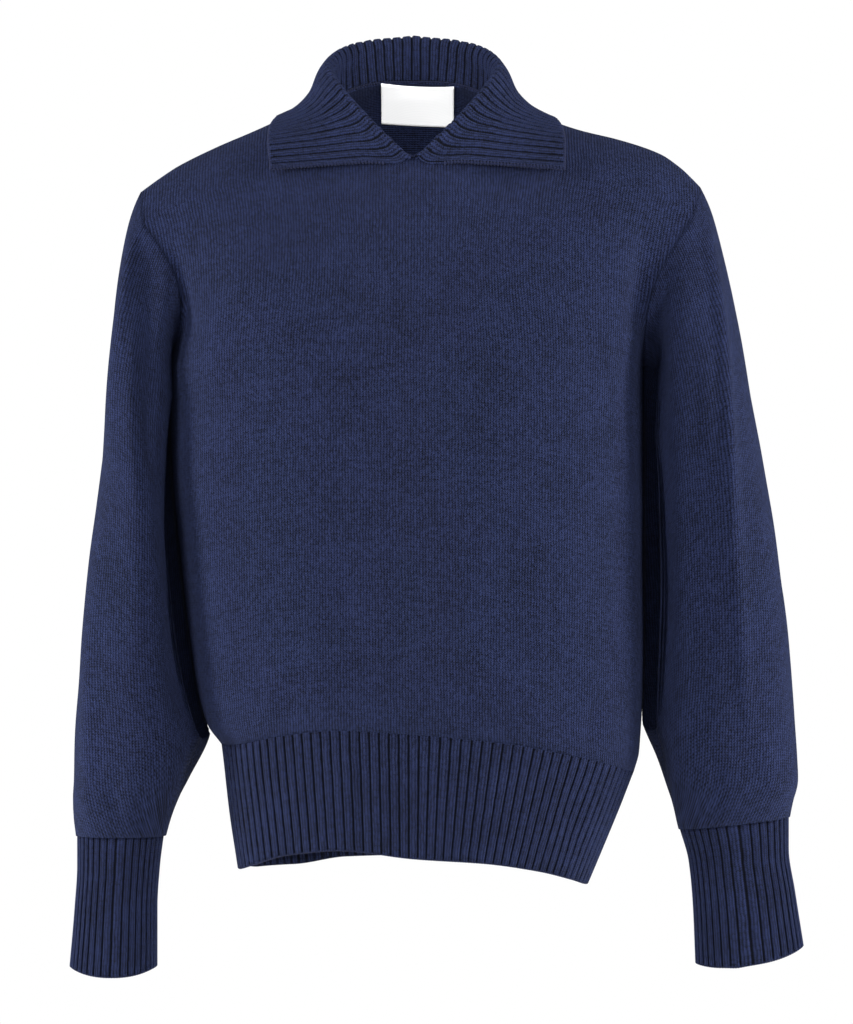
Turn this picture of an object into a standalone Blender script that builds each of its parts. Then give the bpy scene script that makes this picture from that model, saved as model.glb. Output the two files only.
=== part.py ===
"""A collared knit sweater, worn and filled out with no wearer: front and back panels, set-in
sleeves, ribbed cuffs, a ribbed hem in two halves, an open ribbed collar and a bare neck label.

Left and right are the wearer's. The front faces -Y, so the wearer's left is +X. The origin is the
middle of the neck base, at the height where the shoulder seams meet the collar.
Sizes below are in millimetres, and the meshes are in metres."""

import math

import bmesh
import bpy
import numpy as np
from mathutils import Vector
from mathutils.bvhtree import BVHTree

MM = 0.001
SEAM_GAP = 0.3
HEM_SEAM_DROP = 0.5
LEFT, RIGHT = 1, -1
FRONT, BACK = -1, 1

# Cloth
KNIT_THICKNESS = 2.2
RIB_THICKNESS = 2.8
RIB_DEPTH = 1.3
RIDGE_SHARE = 0.6
GROOVE_PLACE = 0.8
LABEL_THICKNESS = 0.9

# Torso: half widths and depths from the armpit (down = 0) to the hem seam (down = 1)
ARMPIT_HEIGHT = -215.0
TORSO_ROUNDNESS = 2.4
TORSO = {
    "down": (0.0, 0.30, 0.50, 0.70, 0.85, 0.95, 1.0),
    "left": (184, 184, 184, 184, 183, 180, 172),
    "right": (195, 192, 186, 179, 172, 162, 149),
    "front": (121, 120, 117, 113, 110, 107, 102),
    "back": (112, 106, 101, 99, 99, 98, 95),
}

# Hem: heights of its seam and its free edge, from the right side (-1) to the left side (1)
HEM_LINE = {
    "across": (-1.0, -0.9, -0.7, -0.4, 0.0, 0.4, 0.7, 0.9, 1.0),
    "front_seam": (-517, -515, -508, -502, -505.5, -512, -522.5, -532, -539),
    "front_edge": (-616, -610, -600.5, -596, -602, -606, -613, -621.5, -628),
    "back_seam": (-517, -515, -512, -510, -510, -514, -523, -532, -539),
    "back_edge": (-616, -619, -619, -614, -613, -615, -620, -625, -628),
}
HEM_EDGE = {"left": 138, "right": 135, "front": 96, "back": 97}
HEM_BULGE = 3.0
HEM_RIBS = 50

# Shoulders: how far the seam drops from the neck (along = 0) to the tip (along = 1)
NECK_HALF_WIDTH = 66.0
SHOULDER_TIP = {LEFT: 230.0, RIGHT: 218.0}
SHOULDER = {
    "along": (0.0, 0.2, 0.4, 0.6, 0.8, 0.9, 1.0),
    "left": (0, -14, -26, -34, -45, -56, -72),
    "right": (0, -13, -27, -40, -55, -65, -76),
}
SHOULDER_SEAM_BACK = 4.0
NECK_CROWN = 30.0
NECK_CROWN_POWER = 1.6
NECKLINE = {FRONT: {"drop": -55.0, "power": 1.25}, BACK: {"drop": 18.0, "power": 2.5}}
PROFILE_POWER = {FRONT: (1.4, 2.1), BACK: (2.9, 2.2)}

# Armholes
ARMHOLE_DEPTH = {FRONT: 52.0, BACK: 56.0}
ARMHOLE_BOW = {LEFT: 13.0, RIGHT: 20.0}
ARMHOLE_BOW_END = 0.8
ARMHOLE_ROWS = 10
ROW_EASE = 1.3

# Sleeves and cuffs: distances from the middle of the body, from just below the armpit down
SLEEVE_ROUNDNESS = 2.3
SLEEVE_CLEARANCE = 3.0
SLEEVE = {
    LEFT: {
        "height": (-262, -330, -397, -450, -490, -530, -548, -566, -580),
        "inner": (174, 174, 174, 175, 178, 193, 200, 208, 212),
        "outer": (273, 284, 293, 299, 302, 305, 306, 303, 301),
        "front": (74, 72, 68, 64, 58, 52, 48, 42, 36),
        "back": (68, 62, 54, 48, 42, 36, 32, 27, 22),
        "tilt": (0, 0, 0, 0, 0, 1, 2, 4, 5),
    },
    RIGHT: {
        "height": (-262, -330, -400, -460, -505, -546, -560, -576, -590),
        "inner": (184, 180, 172, 166, 160, 178, 186, 193, 197),
        "outer": (244, 249, 257, 263, 267, 269, 270, 270, 269),
        "front": (76, 74, 72, 68, 62, 56, 52, 46, 40),
        "back": (74, 70, 62, 54, 46, 40, 36, 31, 26),
        "tilt": (0, 0, 0, 0, 0, 0, 0, 0, 0),
    },
}
CUFF = {
    LEFT: {
        "height": (-580, -605, -640, -685),
        "inner": (213, 220, 223.5, 225.5),
        "outer": (300, 300, 305, 312),
        "front": (34, 28, 26, 26),
        "back": (20, 14, 13, 14),
        "tilt": (5, 5, 6, 7),
    },
    RIGHT: {
        "height": (-590, -614, -647, -694),
        "inner": (199, 202, 204, 204),
        "outer": (268, 268, 270, 274),
        "front": (38, 34, 33, 34),
        "back": (24, 20, 18, 18),
        "tilt": (0, 0, 0, 0),
    },
}
CUFF_FRONT_DROP = 7.0
CUFF_RIBS = 26
CUFF_ROWS = 4
SLEEVE_HEAD_ROWS = 4
SLEEVE_ROWS = 9

# Collar: the fold's crest and the free edge at each turn round the neck, back 0 to front 180
COLLAR = {
    "turn": (0, 35, 65, 90, 115, 145, 180),
    "roll_x": (0, 42, 63, 69, 60, 38, 4),
    "roll_y": (65, 55, 30, 3, -28, -53, -70),
    "roll_z": (55, 49, 38, 26, 8, -19, -53),
    "edge_x": (0, 54, 93, 109, 115, 116.5, 115),
    "edge_y": (86, 76, 46, 6, -32, -56, -72),
    "edge_z": (-16, -15, -14, -16, -26, -39, -62.5),
    "fold": (4.2, 4.2, 4.2, 4.2, 4.0, 3.4, 2.0),
    "sag": (2, 4, 8, 9, 7, 3, 0),
}
COLLAR_RIBS = 44
COLLAR_LEAN = 3.7
COLLAR_FRONT_GAP = 1.6
COLLAR_ABOVE_NECK = 0.9
COLLAR_FRONT_LIFT = 1.9
COLLAR_ABOVE_BODY = 1.2
LEAF_STEPS = (0.3, 0.55, 0.8, 1.0)

# Neck label
LABEL = {"left": 33.0, "right": -26.0, "top": 14.6, "height": 30.0, "slope": -0.05}
LABEL_COLUMNS, LABEL_ROWS = 14, 8
LABEL_GAP = 0.7
LINING_STEP = 0.25
LABEL_LEAN = 1.4

# Colours, as linear red, green and blue
NAVY = (0.023, 0.031, 0.075)
NAVY_RIB = (0.019, 0.026, 0.062)
LABEL_WHITE = (0.86, 0.86, 0.85)


def smooth(table, key, column, at):
    """A column of a table read between its rows, on a smooth curve with no overshoot."""
    places = np.asarray(table[key], float)
    values = np.asarray(table[column], float)
    if places[0] > places[-1]:
        places, at = -places, -np.asarray(at, float)
    steps = np.diff(places)
    slopes = np.diff(values) / steps
    both = slopes[:-1] * slopes[1:]
    total = np.where(both > 0, slopes[:-1] + slopes[1:], 1.0)
    tangents = np.concatenate([slopes[:1], np.where(both > 0, 2 * both / total, 0.0), slopes[-1:]])
    at = np.clip(np.asarray(at, float), places[0], places[-1])
    row = np.clip(np.searchsorted(places, at, side="right") - 1, 0, len(steps) - 1)
    share = (at - places[row]) / steps[row]
    start, end = values[row], values[row + 1]
    out, back = tangents[row] * steps[row], tangents[row + 1] * steps[row]
    square, cube = share**2, share**3
    return (
        start * (2 * cube - 3 * square + 1)
        + out * (cube - 2 * square + share)
        + end * (3 * square - 2 * cube)
        + back * (cube - square)
    )


def signed_power(value, power):
    return np.sign(value) * np.abs(value) ** power


def mix(a, b, share):
    return a + (b - a) * share


def lengths_along(points):
    """The distance walked along a row of points, from 0 to 1."""
    walked = np.concatenate([[0.0], np.cumsum(np.linalg.norm(np.diff(points, axis=0), axis=1))])
    return walked / walked[-1]


def by_side(across, left, right):
    return np.where(across < 0, right, left)


def hem_height(facing, across, line):
    name = ("front_" if facing == FRONT else "back_") + line
    return smooth(HEM_LINE, "across", name, across)


def torso_depth(facing, down):
    return smooth(TORSO, "down", "front" if facing == FRONT else "back", down)


def torso_half_width(across, down):
    left = smooth(TORSO, "down", "left", down)
    return by_side(across, left, smooth(TORSO, "down", "right", down))


def lower_row(facing, across, around, down):
    """One row between the armpits (down = 0) and the hem seam (down = 1)."""
    seam = hem_height(facing, across, "seam")
    x = across * torso_half_width(across, down)
    y = facing * torso_depth(facing, down) * around
    return np.stack([x, y, ARMPIT_HEIGHT + (seam - ARMPIT_HEIGHT) * down], axis=-1)


def upper_row(facing, across, around, up):
    """One row between the armpits (up = 0) and the shoulder seams and neckline (up = 1)."""
    tip = by_side(across, SHOULDER_TIP[LEFT], SHOULDER_TIP[RIGHT])
    top_x = np.abs(across) * tip
    along = (top_x - NECK_HALF_WIDTH) / (tip - NECK_HALF_WIDTH)
    left = smooth(SHOULDER, "along", "left", along)
    seam = by_side(across, left, smooth(SHOULDER, "along", "right", along))
    neck = np.clip(top_x / NECK_HALF_WIDTH, 0, 1)
    crown = seam + NECK_CROWN * (1 - neck**NECK_CROWN_POWER)
    line = NECKLINE[facing]
    end = seam + line["drop"] * (1 - neck ** line["power"])
    middle, edge = PROFILE_POWER[facing]
    power = mix(middle, edge, np.abs(across))
    reach = (end - ARMPIT_HEIGHT) / (crown - ARMPIT_HEIGHT)
    turn = np.arcsin(np.clip(reach, 0, 1) ** (power / 2)) * up**ROW_EASE
    z = ARMPIT_HEIGHT + (crown - ARMPIT_HEIGHT) * np.sin(turn) ** (2 / power)
    height = (z - ARMPIT_HEIGHT) / (crown - ARMPIT_HEIGHT)
    depth = torso_depth(facing, 0.0) * around * np.clip(np.cos(turn), 0, 1) ** (2 / power)
    opening = ARMHOLE_DEPTH[facing] * np.clip(4 * height * (1 - height), 0, 1) ** 0.55
    depth = (depth**3 + (opening * across**4) ** 3) ** (1 / 3)
    bow = by_side(across, ARMHOLE_BOW[LEFT], ARMHOLE_BOW[RIGHT])
    bow = bow * np.sin(np.pi * np.clip(height / ARMHOLE_BOW_END, 0, 1))
    x = across * mix(torso_half_width(across, 0.0), tip, height) - across**3 * bow
    y = SHOULDER_SEAM_BACK * height + facing * depth
    return np.stack([x, y, z], axis=-1)


def torso_row(facing, angles, level):
    """One row of a panel. Level 0 is the hem seam, 1 the armpits and 2 the top."""
    turn = np.radians(angles)
    across = signed_power(np.sin(turn), 2 / TORSO_ROUNDNESS)
    around = np.clip(np.cos(turn), 0, 1) ** (2 / TORSO_ROUNDNESS)
    if level <= 1:
        return lower_row(facing, across, around, 1 - level)
    return upper_row(facing, across, around, level - 1)


def neck_angle(side, share):
    """The panel column that meets the neckline at this share of the neck's half width."""
    across = NECK_HALF_WIDTH * share / SHOULDER_TIP[side]
    return side * math.degrees(math.asin(across ** (TORSO_ROUNDNESS / 2)))


def panel_columns():
    half = {}
    for side in (LEFT, RIGHT):
        neck = [neck_angle(side, share) for share in (0.25, 0.5, 0.75, 1.0)]
        shoulder = np.linspace(neck[-1], side * 90, 8)[1:]
        half[side] = np.concatenate([neck, shoulder])
    return np.concatenate([half[RIGHT][::-1], [0.0], half[LEFT]])


def panel_levels():
    lower = 1 - np.array([1.0, 0.95, 0.88, 0.78, 0.64, 0.48, 0.32, 0.16])
    return np.concatenate([lower, 1 + np.linspace(0, 1, ARMHOLE_ROWS + 1)])


def panel_grid(facing):
    return np.array([torso_row(facing, panel_columns(), level) for level in panel_levels()])


def armhole_point(side, place):
    """A point of the armhole: 0 is the shoulder tip, 0.25 the front, 0.5 the armpit, 0.75 the back."""
    facing = FRONT if place <= 0.5 else BACK
    return torso_row(facing, np.array([side * 90.0]), 1 + abs(1 - 2 * place))[0]


def arm_section(table, side, places, height):
    """A ring of a sleeve or cuff at this height."""
    read = {name: smooth(table[side], "height", name, height) for name in table[side]}
    turn = 2 * np.pi * places
    outwards = signed_power(np.cos(turn), 2 / SLEEVE_ROUNDNESS)
    forwards = signed_power(np.sin(turn), 2 / SLEEVE_ROUNDNESS)
    middle, half = (read["outer"] + read["inner"]) / 2, (read["outer"] - read["inner"]) / 2
    x = side * (middle + half * outwards)
    y = (read["back"] - read["front"]) / 2 - (read["front"] + read["back"]) / 2 * forwards
    return np.stack([x, y, height + read["tilt"] * outwards], axis=-1)


def clear_of_torso(points, clearance):
    """Points of a sleeve, moved outwards where they would come too near the torso's side."""
    down = (ARMPIT_HEIGHT - points[:, 2]) / (ARMPIT_HEIGHT - HEM_LINE["front_seam"][0])
    facing_depth = np.where(points[:, 1] < 0, torso_depth(FRONT, down), torso_depth(BACK, down))
    inside = np.clip(1 - np.abs(points[:, 1] / facing_depth) ** TORSO_ROUNDNESS, 0, 1)
    reach = torso_half_width(points[:, 0], down) * inside ** (1 / TORSO_ROUNDNESS) + clearance
    near = (points[:, 2] < ARMPIT_HEIGHT + 2) & (inside > 0)
    x = np.where(near, np.maximum(np.abs(points[:, 0]), reach), np.abs(points[:, 0]))
    return np.stack([np.sign(points[:, 0]) * x, points[:, 1], points[:, 2]], axis=-1)


def sleeve_head_row(side, places, share):
    """A ring between the armhole (share = 0) and the first full ring of the sleeve (share = 1)."""
    start = np.array([armhole_point(side, place) for place in places])
    top = SLEEVE[side]["height"][0]
    end = arm_section(SLEEVE, side, places, top)
    below = arm_section(SLEEVE, side, places, top - 10)
    upper = (1 + np.cos(2 * np.pi * places)) / 2
    leave = np.stack(
        [side * mix(34, 62, upper), -22 * np.sin(2 * np.pi * places), -mix(10, 120, upper)], axis=-1
    )
    fall = (start[:, 2] - end[:, 2])[:, None] / 10
    arrive = (below - end) * fall
    square, cube = share**2, share**3
    return (
        start * (2 * cube - 3 * square + 1)
        + leave * (cube - 2 * square + share)
        + end * (3 * square - 2 * cube)
        + arrive * (cube - square)
    )


def sleeve_grid(side):
    places = np.arange(2 * ARMHOLE_ROWS) / (2 * ARMHOLE_ROWS)
    rows = []
    for share in np.arange(SLEEVE_HEAD_ROWS) / SLEEVE_HEAD_ROWS:
        row = sleeve_head_row(side, places, share)
        rows.append(row if share == 0 else clear_of_torso(row, SLEEVE_CLEARANCE * min(1, 2 * share)))
    heights = SLEEVE[side]["height"]
    for share in np.linspace(0, 1, SLEEVE_ROWS + 1) ** 0.85:
        height = mix(heights[0], heights[-1], share)
        rows.append(clear_of_torso(arm_section(SLEEVE, side, places, height), SLEEVE_CLEARANCE))
    return np.array(rows)


def rib_places(ribs):
    """Where the points across a row of ribs lie, in ribs, and which of them are ridges."""
    starts = np.arange(ribs)[:, None]
    places = (starts + np.array([0.0, RIDGE_SHARE, GROOVE_PLACE])).ravel()
    return places, np.tile([1.0, 1.0, 0.0], ribs)


def grid_normals(grid, closed):
    """Unit normals of a grid, from the cross product of its two directions."""
    if closed:
        sideways = np.roll(grid, -1, axis=1) - np.roll(grid, 1, axis=1)
    else:
        sideways = np.gradient(grid, axis=1)
    normals = np.cross(sideways, np.gradient(grid, axis=0))
    return normals / np.linalg.norm(normals, axis=-1, keepdims=True)


def level_normals(normals):
    """The same normals turned level, so that two bands meet on a level face."""
    flat = normals * np.array([1.0, 1.0, 0.0])
    return flat / np.linalg.norm(flat, axis=-1, keepdims=True)


def hem_row(facing, angles, down):
    turn = np.radians(angles)
    across = signed_power(np.sin(turn), 2 / TORSO_ROUNDNESS)
    around = np.clip(np.cos(turn), 0, 1) ** (2 / TORSO_ROUNDNESS)
    edge_width = by_side(across, HEM_EDGE["left"], HEM_EDGE["right"])
    bulge = HEM_BULGE * math.sin(math.pi * down)
    half = mix(torso_half_width(across, 1.0), edge_width, down) + bulge
    edge_depth = HEM_EDGE["front" if facing == FRONT else "back"]
    depth = mix(torso_depth(facing, 1.0), edge_depth, down) + bulge
    z = mix(hem_height(facing, across, "seam"), hem_height(facing, across, "edge"), down)
    return np.stack([across * half, facing * depth * around, z], axis=-1)


def hem_walls(facing):
    """The outer and inner points of half the hem rib, from side seam to side seam."""
    fine = np.linspace(-90, 90, 361)
    walked = lengths_along(hem_row(facing, fine, 0.5))
    places, ridges = rib_places(HEM_RIBS)
    angles = np.interp(np.append(places, HEM_RIBS) / HEM_RIBS, walked, fine)
    grid = np.array([hem_row(facing, angles, down) for down in (0.0, 0.5, 1.0)])
    outwards = level_normals(grid_normals(grid, closed=False) * facing)
    outwards[:, [0, -1]] = np.array([[[-1.0, 0, 0], [1.0, 0, 0]]])
    outer = grid - outwards * (RIB_DEPTH * (1 - np.append(ridges, 1.0)))[None, :, None]
    inner = (grid - outwards * RIB_THICKNESS)[:, ::3]
    for wall in (outer, inner):
        wall[0, :, 2] -= HEM_SEAM_DROP
        wall[:, [0, -1], 1] += facing * SEAM_GAP / 2
    return outer, inner


def cuff_walls(side):
    places, ridges = rib_places(CUFF_RIBS)
    heights = CUFF[side]["height"]
    rows = []
    for share in np.linspace(0, 1, CUFF_ROWS):
        row = arm_section(CUFF, side, places / CUFF_RIBS, mix(heights[0], heights[-1], share))
        forwards = np.sin(2 * np.pi * places / CUFF_RIBS)
        row[:, 2] -= CUFF_FRONT_DROP * share**2 * np.maximum(forwards, 0) ** 2
        rows.append(row)
    grid = np.array(rows)
    outwards = level_normals(grid_normals(grid, closed=True) * side)
    outer = grid - outwards * (RIB_DEPTH * (1 - ridges))[None, :, None]
    inner = (grid - outwards * RIB_THICKNESS)[:, ::3]
    outer[0, :, 2] -= SEAM_GAP / 2
    inner[0, :, 2] -= SEAM_GAP / 2
    return outer, inner


def neck_seam(side, turn):
    """The neckline of the panels at this turn round the neck."""
    facing = BACK if turn < 90 else FRONT
    share = min(max(math.sin(math.radians(turn)), 0.0), 1.0)
    return torso_row(facing, np.array([neck_angle(side, share)]), 2.0)[0]


def collar_section(side, turn):
    """The middle of the collar's cloth at one turn: up the stand, over the fold, down the leaf."""
    read = {name: float(smooth(COLLAR, "turn", name, turn)) for name in COLLAR}
    base = neck_seam(side, turn) + np.array([0, 0, COLLAR_ABOVE_NECK])
    crest = np.array([side * read["roll_x"], read["roll_y"], read["roll_z"]])
    edge_x = side * read["edge_x"] + COLLAR_LEAN * turn / 180
    edge = np.array([edge_x, read["edge_y"], read["edge_z"]])
    front = max(turn - 150, 0) / 30
    base += np.array([side * COLLAR_FRONT_GAP, 0, COLLAR_FRONT_LIFT]) * front
    up = np.array([0.0, 0.0, 1.0])
    out = (edge - base) * np.array([1.0, 1.0, 0.0])
    out /= np.linalg.norm(out)
    fold = read["fold"]
    before = crest - (out + up) * fold
    after = crest + (out - up) * fold
    rows = [base, mix(base, before, 0.5), before, crest, after]
    for step in LEAF_STEPS:
        rows.append(mix(after, edge, step) - up * read["sag"] * math.sin(math.pi * step**0.7))
    return np.array(rows)


def outside(tree, point, distance):
    """The point, moved out along the cloth's normal until it is this far from the cloth."""
    place, normal, _, _ = tree.find_nearest(Vector(point))
    short = distance - (Vector(point) - place).dot(normal)
    return np.array(Vector(point) + normal * max(short, 0.0))


def collar_walls(body):
    fine = np.linspace(-180, 180, 181)
    sides = [(LEFT if turn >= 0 else RIGHT, abs(turn)) for turn in fine]
    crests = np.array([collar_section(side, turn)[3] for side, turn in sides])
    walked = lengths_along(crests)
    places, ridges = rib_places(COLLAR_RIBS)
    turns = np.interp(np.append(places, COLLAR_RIBS) / COLLAR_RIBS, walked, fine)
    sections = [collar_section(LEFT if turn >= 0 else RIGHT, abs(turn)) for turn in turns]
    grid = np.array(sections).transpose(1, 0, 2)
    for row in range(2, len(grid)):
        for column in range(grid.shape[1]):
            distance = RIB_THICKNESS / 2 + COLLAR_ABOVE_BODY
            grid[row, column] = outside(body, grid[row, column], distance)
    ribbed = grid_normals(grid, closed=False)
    raised = RIB_THICKNESS / 2 - RIB_DEPTH * (1 - np.append(ridges, 1.0))
    outer = grid + ribbed * raised[None, :, None]
    inner = (grid - ribbed * RIB_THICKNESS / 2)[:, ::3]
    return outer, inner


def cloth_tree(grids, turned):
    """The faces of some grids, each turned round or not, for what lies on that cloth."""
    points, triangles = [], []
    for grid, turn in zip(grids, turned):
        start = len(points)
        points += [Vector(p) for p in grid.reshape(-1, 3)]
        for a, b, c, d in quads(start, *grid.shape[:2], closed=False):
            triangles += [(c, b, a), (d, c, a)] if turn else [(a, b, c), (a, c, d)]
    return BVHTree.FromPolygons(points, triangles)


def skin_normals(grids):
    """Normals of the panels and sleeves, shared where they meet, so that seams are mitred."""
    points, totals = [], []
    for grid, closed, turned in grids:
        ahead = np.roll(grid, -1, axis=1) if closed else grid[:, 1:]
        here = grid if closed else grid[:, :-1]
        across = np.cross(ahead[1:] - here[:-1], here[1:] - ahead[:-1]) * turned
        total = np.zeros_like(grid)
        columns = np.arange(here.shape[1])
        beside = (columns + 1) % grid.shape[1]
        for rows in (slice(0, -1), slice(1, None)):
            total[rows, columns] += across
            total[rows, beside] += across
        points.append(grid.reshape(-1, 3))
        totals.append(total.reshape(-1, 3))
    _, index = np.unique(np.round(np.concatenate(points), 3), axis=0, return_inverse=True)
    index = index.ravel()
    merged = np.zeros((index.max() + 1, 3))
    np.add.at(merged, index, np.concatenate(totals))
    merged /= np.linalg.norm(merged, axis=1, keepdims=True)
    shared, start = [], 0
    for grid, _, _ in grids:
        count = grid.shape[0] * grid.shape[1]
        shared.append(merged[index[start : start + count]].reshape(grid.shape))
        start += count
    return shared


def draw_back(edge, beside):
    """Half a seam's gap, from the edge of a piece towards its own cloth."""
    along = beside - edge
    return along / np.linalg.norm(along, axis=-1, keepdims=True) * (SEAM_GAP / 2 + 0.05)


def panel_walls(outer, normals):
    normals[0] = level_normals(normals[0])
    inner = outer - normals * KNIT_THICKNESS
    left, right = draw_back(outer[:, 0], outer[:, 1]), draw_back(outer[:, -1], outer[:, -2])
    top = draw_back(outer[-1], outer[-2])
    walls = []
    for wall in (outer.copy(), inner):
        wall[:, 0] += left
        wall[:, -1] += right
        wall[-1] += top
        wall[0, :, 2] += SEAM_GAP / 2
        walls.append(wall)
    return walls


def sleeve_walls(outer, normals):
    normals[-1] = level_normals(normals[-1])
    inner = outer - normals * KNIT_THICKNESS
    top = draw_back(outer[0], outer[1])
    walls = []
    for wall in (outer.copy(), inner):
        wall[0] += top
        wall[-1, :, 2] += SEAM_GAP / 2
        walls.append(wall)
    return walls


def on_lining(tree, x, z, distance):
    """A point this far off the lining, or in line with it where the height is above its top edge."""
    hit, low = None, z
    while hit is None:
        hit, normal, _, _ = tree.ray_cast(Vector((x, 0, low)), Vector((0, 1, 0)))
        low -= LINING_STEP
    normal = normal if normal.y < 0 else -normal
    off = hit + normal * distance
    above = z - hit.z
    return x, off.y - above * LABEL_LEAN, off.z + above


def label_walls(back_lining):
    """The label's two faces, from the inside of the back panel, moved in."""
    tree = cloth_tree([back_lining], [False])
    near, far = [], []
    for down in np.linspace(0, 1, LABEL_ROWS + 1):
        near_row, far_row = [], []
        for share in np.linspace(0, 1, LABEL_COLUMNS + 1):
            x = mix(LABEL["right"], LABEL["left"], share)
            z = LABEL["top"] - LABEL["height"] * down + LABEL["slope"] * x
            far_row.append(on_lining(tree, x, z, LABEL_GAP))
            near_row.append(on_lining(tree, x, z, LABEL_GAP + LABEL_THICKNESS))
        near.append(near_row)
        far.append(far_row)
    return np.array(near), np.array(far)


def quads(first, rows, columns, closed):
    faces = []
    for row in range(rows - 1):
        for column in range(columns if closed else columns - 1):
            here, beside = first + row * columns + column, first + row * columns + (column + 1) % columns
            faces.append((here, beside, beside + columns, here + columns))
    return faces


def rim(points, outer, inner, ratio):
    """Faces between two edges, one of which has some times as many points as the other."""
    faces = []
    for j in range(len(inner) - 1):
        fan = outer[j * ratio : (j + 1) * ratio + 1]
        ahead = np.linalg.norm(points[inner[j]] - points[fan[-1]])
        behind = np.linalg.norm(points[inner[j + 1]] - points[fan[0]])
        if ratio == 1 and behind < ahead:
            faces += [(inner[j], fan[0], inner[j + 1]), (fan[0], fan[1], inner[j + 1])]
            continue
        faces += [(inner[j], a, b) for a, b in zip(fan, fan[1:])]
        faces.append((inner[j], fan[-1], inner[j + 1]))
    return faces


def material(name, colour, roughness):
    made = bpy.data.materials.new(name)
    made.use_nodes = True
    shader = made.node_tree.nodes["Principled BSDF"]
    shader.inputs["Base Color"].default_value = (*colour, 1.0)
    shader.inputs["Roughness"].default_value = roughness
    shader.inputs["Metallic"].default_value = 0.0
    return made


def wall_object(name, outer, inner, closed, cloth, collection):
    """A cloth wall between its outer and inner points, closed along its rims."""
    rows, wide = outer.shape[:2]
    narrow = inner.shape[1]
    points = np.concatenate([outer.reshape(-1, 3), inner.reshape(-1, 3)])
    ratio = (wide if closed else wide - 1) // (narrow if closed else narrow - 1)
    start = rows * wide
    faces = quads(0, rows, wide, closed) + quads(start, rows, narrow, closed)
    for row in (0, rows - 1):
        outer_edge = [row * wide + c for c in range(wide)]
        inner_edge = [start + row * narrow + c for c in range(narrow)]
        if closed:
            outer_edge.append(outer_edge[0])
            inner_edge.append(inner_edge[0])
        faces += rim(points, outer_edge, inner_edge, ratio)
    if not closed:
        for outer_column, inner_column in ((0, 0), (wide - 1, narrow - 1)):
            outer_edge = [r * wide + outer_column for r in range(rows)]
            inner_edge = [start + r * narrow + inner_column for r in range(rows)]
            faces += rim(points, outer_edge, inner_edge, 1)
    mesh = bpy.data.meshes.new(name)
    mesh.from_pydata((points * MM).tolist(), [], faces)
    shape = bmesh.new()
    shape.from_mesh(mesh)
    bmesh.ops.recalc_face_normals(shape, faces=shape.faces)
    if shape.calc_volume(signed=True) < 0:
        bmesh.ops.reverse_faces(shape, faces=shape.faces)
    shape.to_mesh(mesh)
    shape.free()
    mesh.shade_smooth()
    mesh.set_sharp_from_angle(angle=math.radians(50))
    mesh.materials.append(cloth)
    made = bpy.data.objects.new(name, mesh)
    collection.objects.link(made)
    return made


def clear_scene():
    for old in list(bpy.data.objects):
        bpy.data.objects.remove(old, do_unlink=True)


def main():
    clear_scene()
    sweater = bpy.data.collections.new("collared_sweater")
    bpy.context.scene.collection.children.link(sweater)
    knit = material("navy_stockinette", NAVY, 0.95)
    rib = material("navy_rib", NAVY_RIB, 0.95)
    woven = material("white_woven_label", LABEL_WHITE, 0.7)

    front, back = panel_grid(FRONT), panel_grid(BACK)
    sleeves = {side: sleeve_grid(side) for side in (LEFT, RIGHT)}
    grids = [(front, False, 1), (back, False, -1)]
    grids += [(sleeves[side], True, side) for side in (LEFT, RIGHT)]
    front_normals, back_normals, left_normals, right_normals = skin_normals(grids)

    front_walls = panel_walls(front, front_normals)
    back_walls = panel_walls(back, back_normals)
    wall_object("front", *front_walls, False, knit, sweater)
    wall_object("back", *back_walls, False, knit, sweater)
    for side, name, normals in ((LEFT, "left", left_normals), (RIGHT, "right", right_normals)):
        walls = sleeve_walls(sleeves[side], normals)
        wall_object(f"sleeve_{name}", *walls, True, knit, sweater)
        wall_object(f"cuff_{name}", *cuff_walls(side), True, rib, sweater)
    wall_object("hem_rib_front", *hem_walls(FRONT), False, rib, sweater)
    wall_object("hem_rib_back", *hem_walls(BACK), False, rib, sweater)
    body = cloth_tree([front, back], [False, True])
    wall_object("collar", *collar_walls(body), False, rib, sweater)
    wall_object("neck_label", *label_walls(back_walls[1]), False, woven, sweater)


main()
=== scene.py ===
"""A collared knit sweater in navy wool, worn and filled out with no wearer, before a white ground.

The cloth of each piece follows the form of its solid, with finer points, ribs and creases.
Left and right are the wearer's. The front faces -Y, and the wearer's left is +X.
Sizes below are in millimetres, and the meshes are in metres."""

import math

import bmesh
import bpy
import numpy as np
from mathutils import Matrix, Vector, noise
from mathutils.bvhtree import BVHTree


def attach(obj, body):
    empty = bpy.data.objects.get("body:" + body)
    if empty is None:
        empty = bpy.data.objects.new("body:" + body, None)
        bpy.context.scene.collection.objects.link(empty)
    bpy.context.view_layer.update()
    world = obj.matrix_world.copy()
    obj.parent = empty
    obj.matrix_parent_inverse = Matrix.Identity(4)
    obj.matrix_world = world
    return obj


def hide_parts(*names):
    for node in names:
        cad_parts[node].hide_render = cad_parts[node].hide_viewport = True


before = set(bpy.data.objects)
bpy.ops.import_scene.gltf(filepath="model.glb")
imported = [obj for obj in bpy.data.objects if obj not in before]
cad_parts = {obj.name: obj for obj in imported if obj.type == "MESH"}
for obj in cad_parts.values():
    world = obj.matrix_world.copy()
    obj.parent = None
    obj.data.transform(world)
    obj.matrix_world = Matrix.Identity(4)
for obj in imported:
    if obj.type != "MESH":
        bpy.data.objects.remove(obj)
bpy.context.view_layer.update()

MM = 0.001
LEFT, RIGHT = 1, -1
FRONT, BACK = -1, 1

# Cloth
KNIT_THICKNESS = 2.2
RIB_THICKNESS = 2.8
RIB_DEPTH = 1.5
LINING_RIB_DEPTH = 0.8
LABEL_THICKNESS = 0.9
WALE = 2.3
COURSE = 1.9
RIB_WALES = 3

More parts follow.
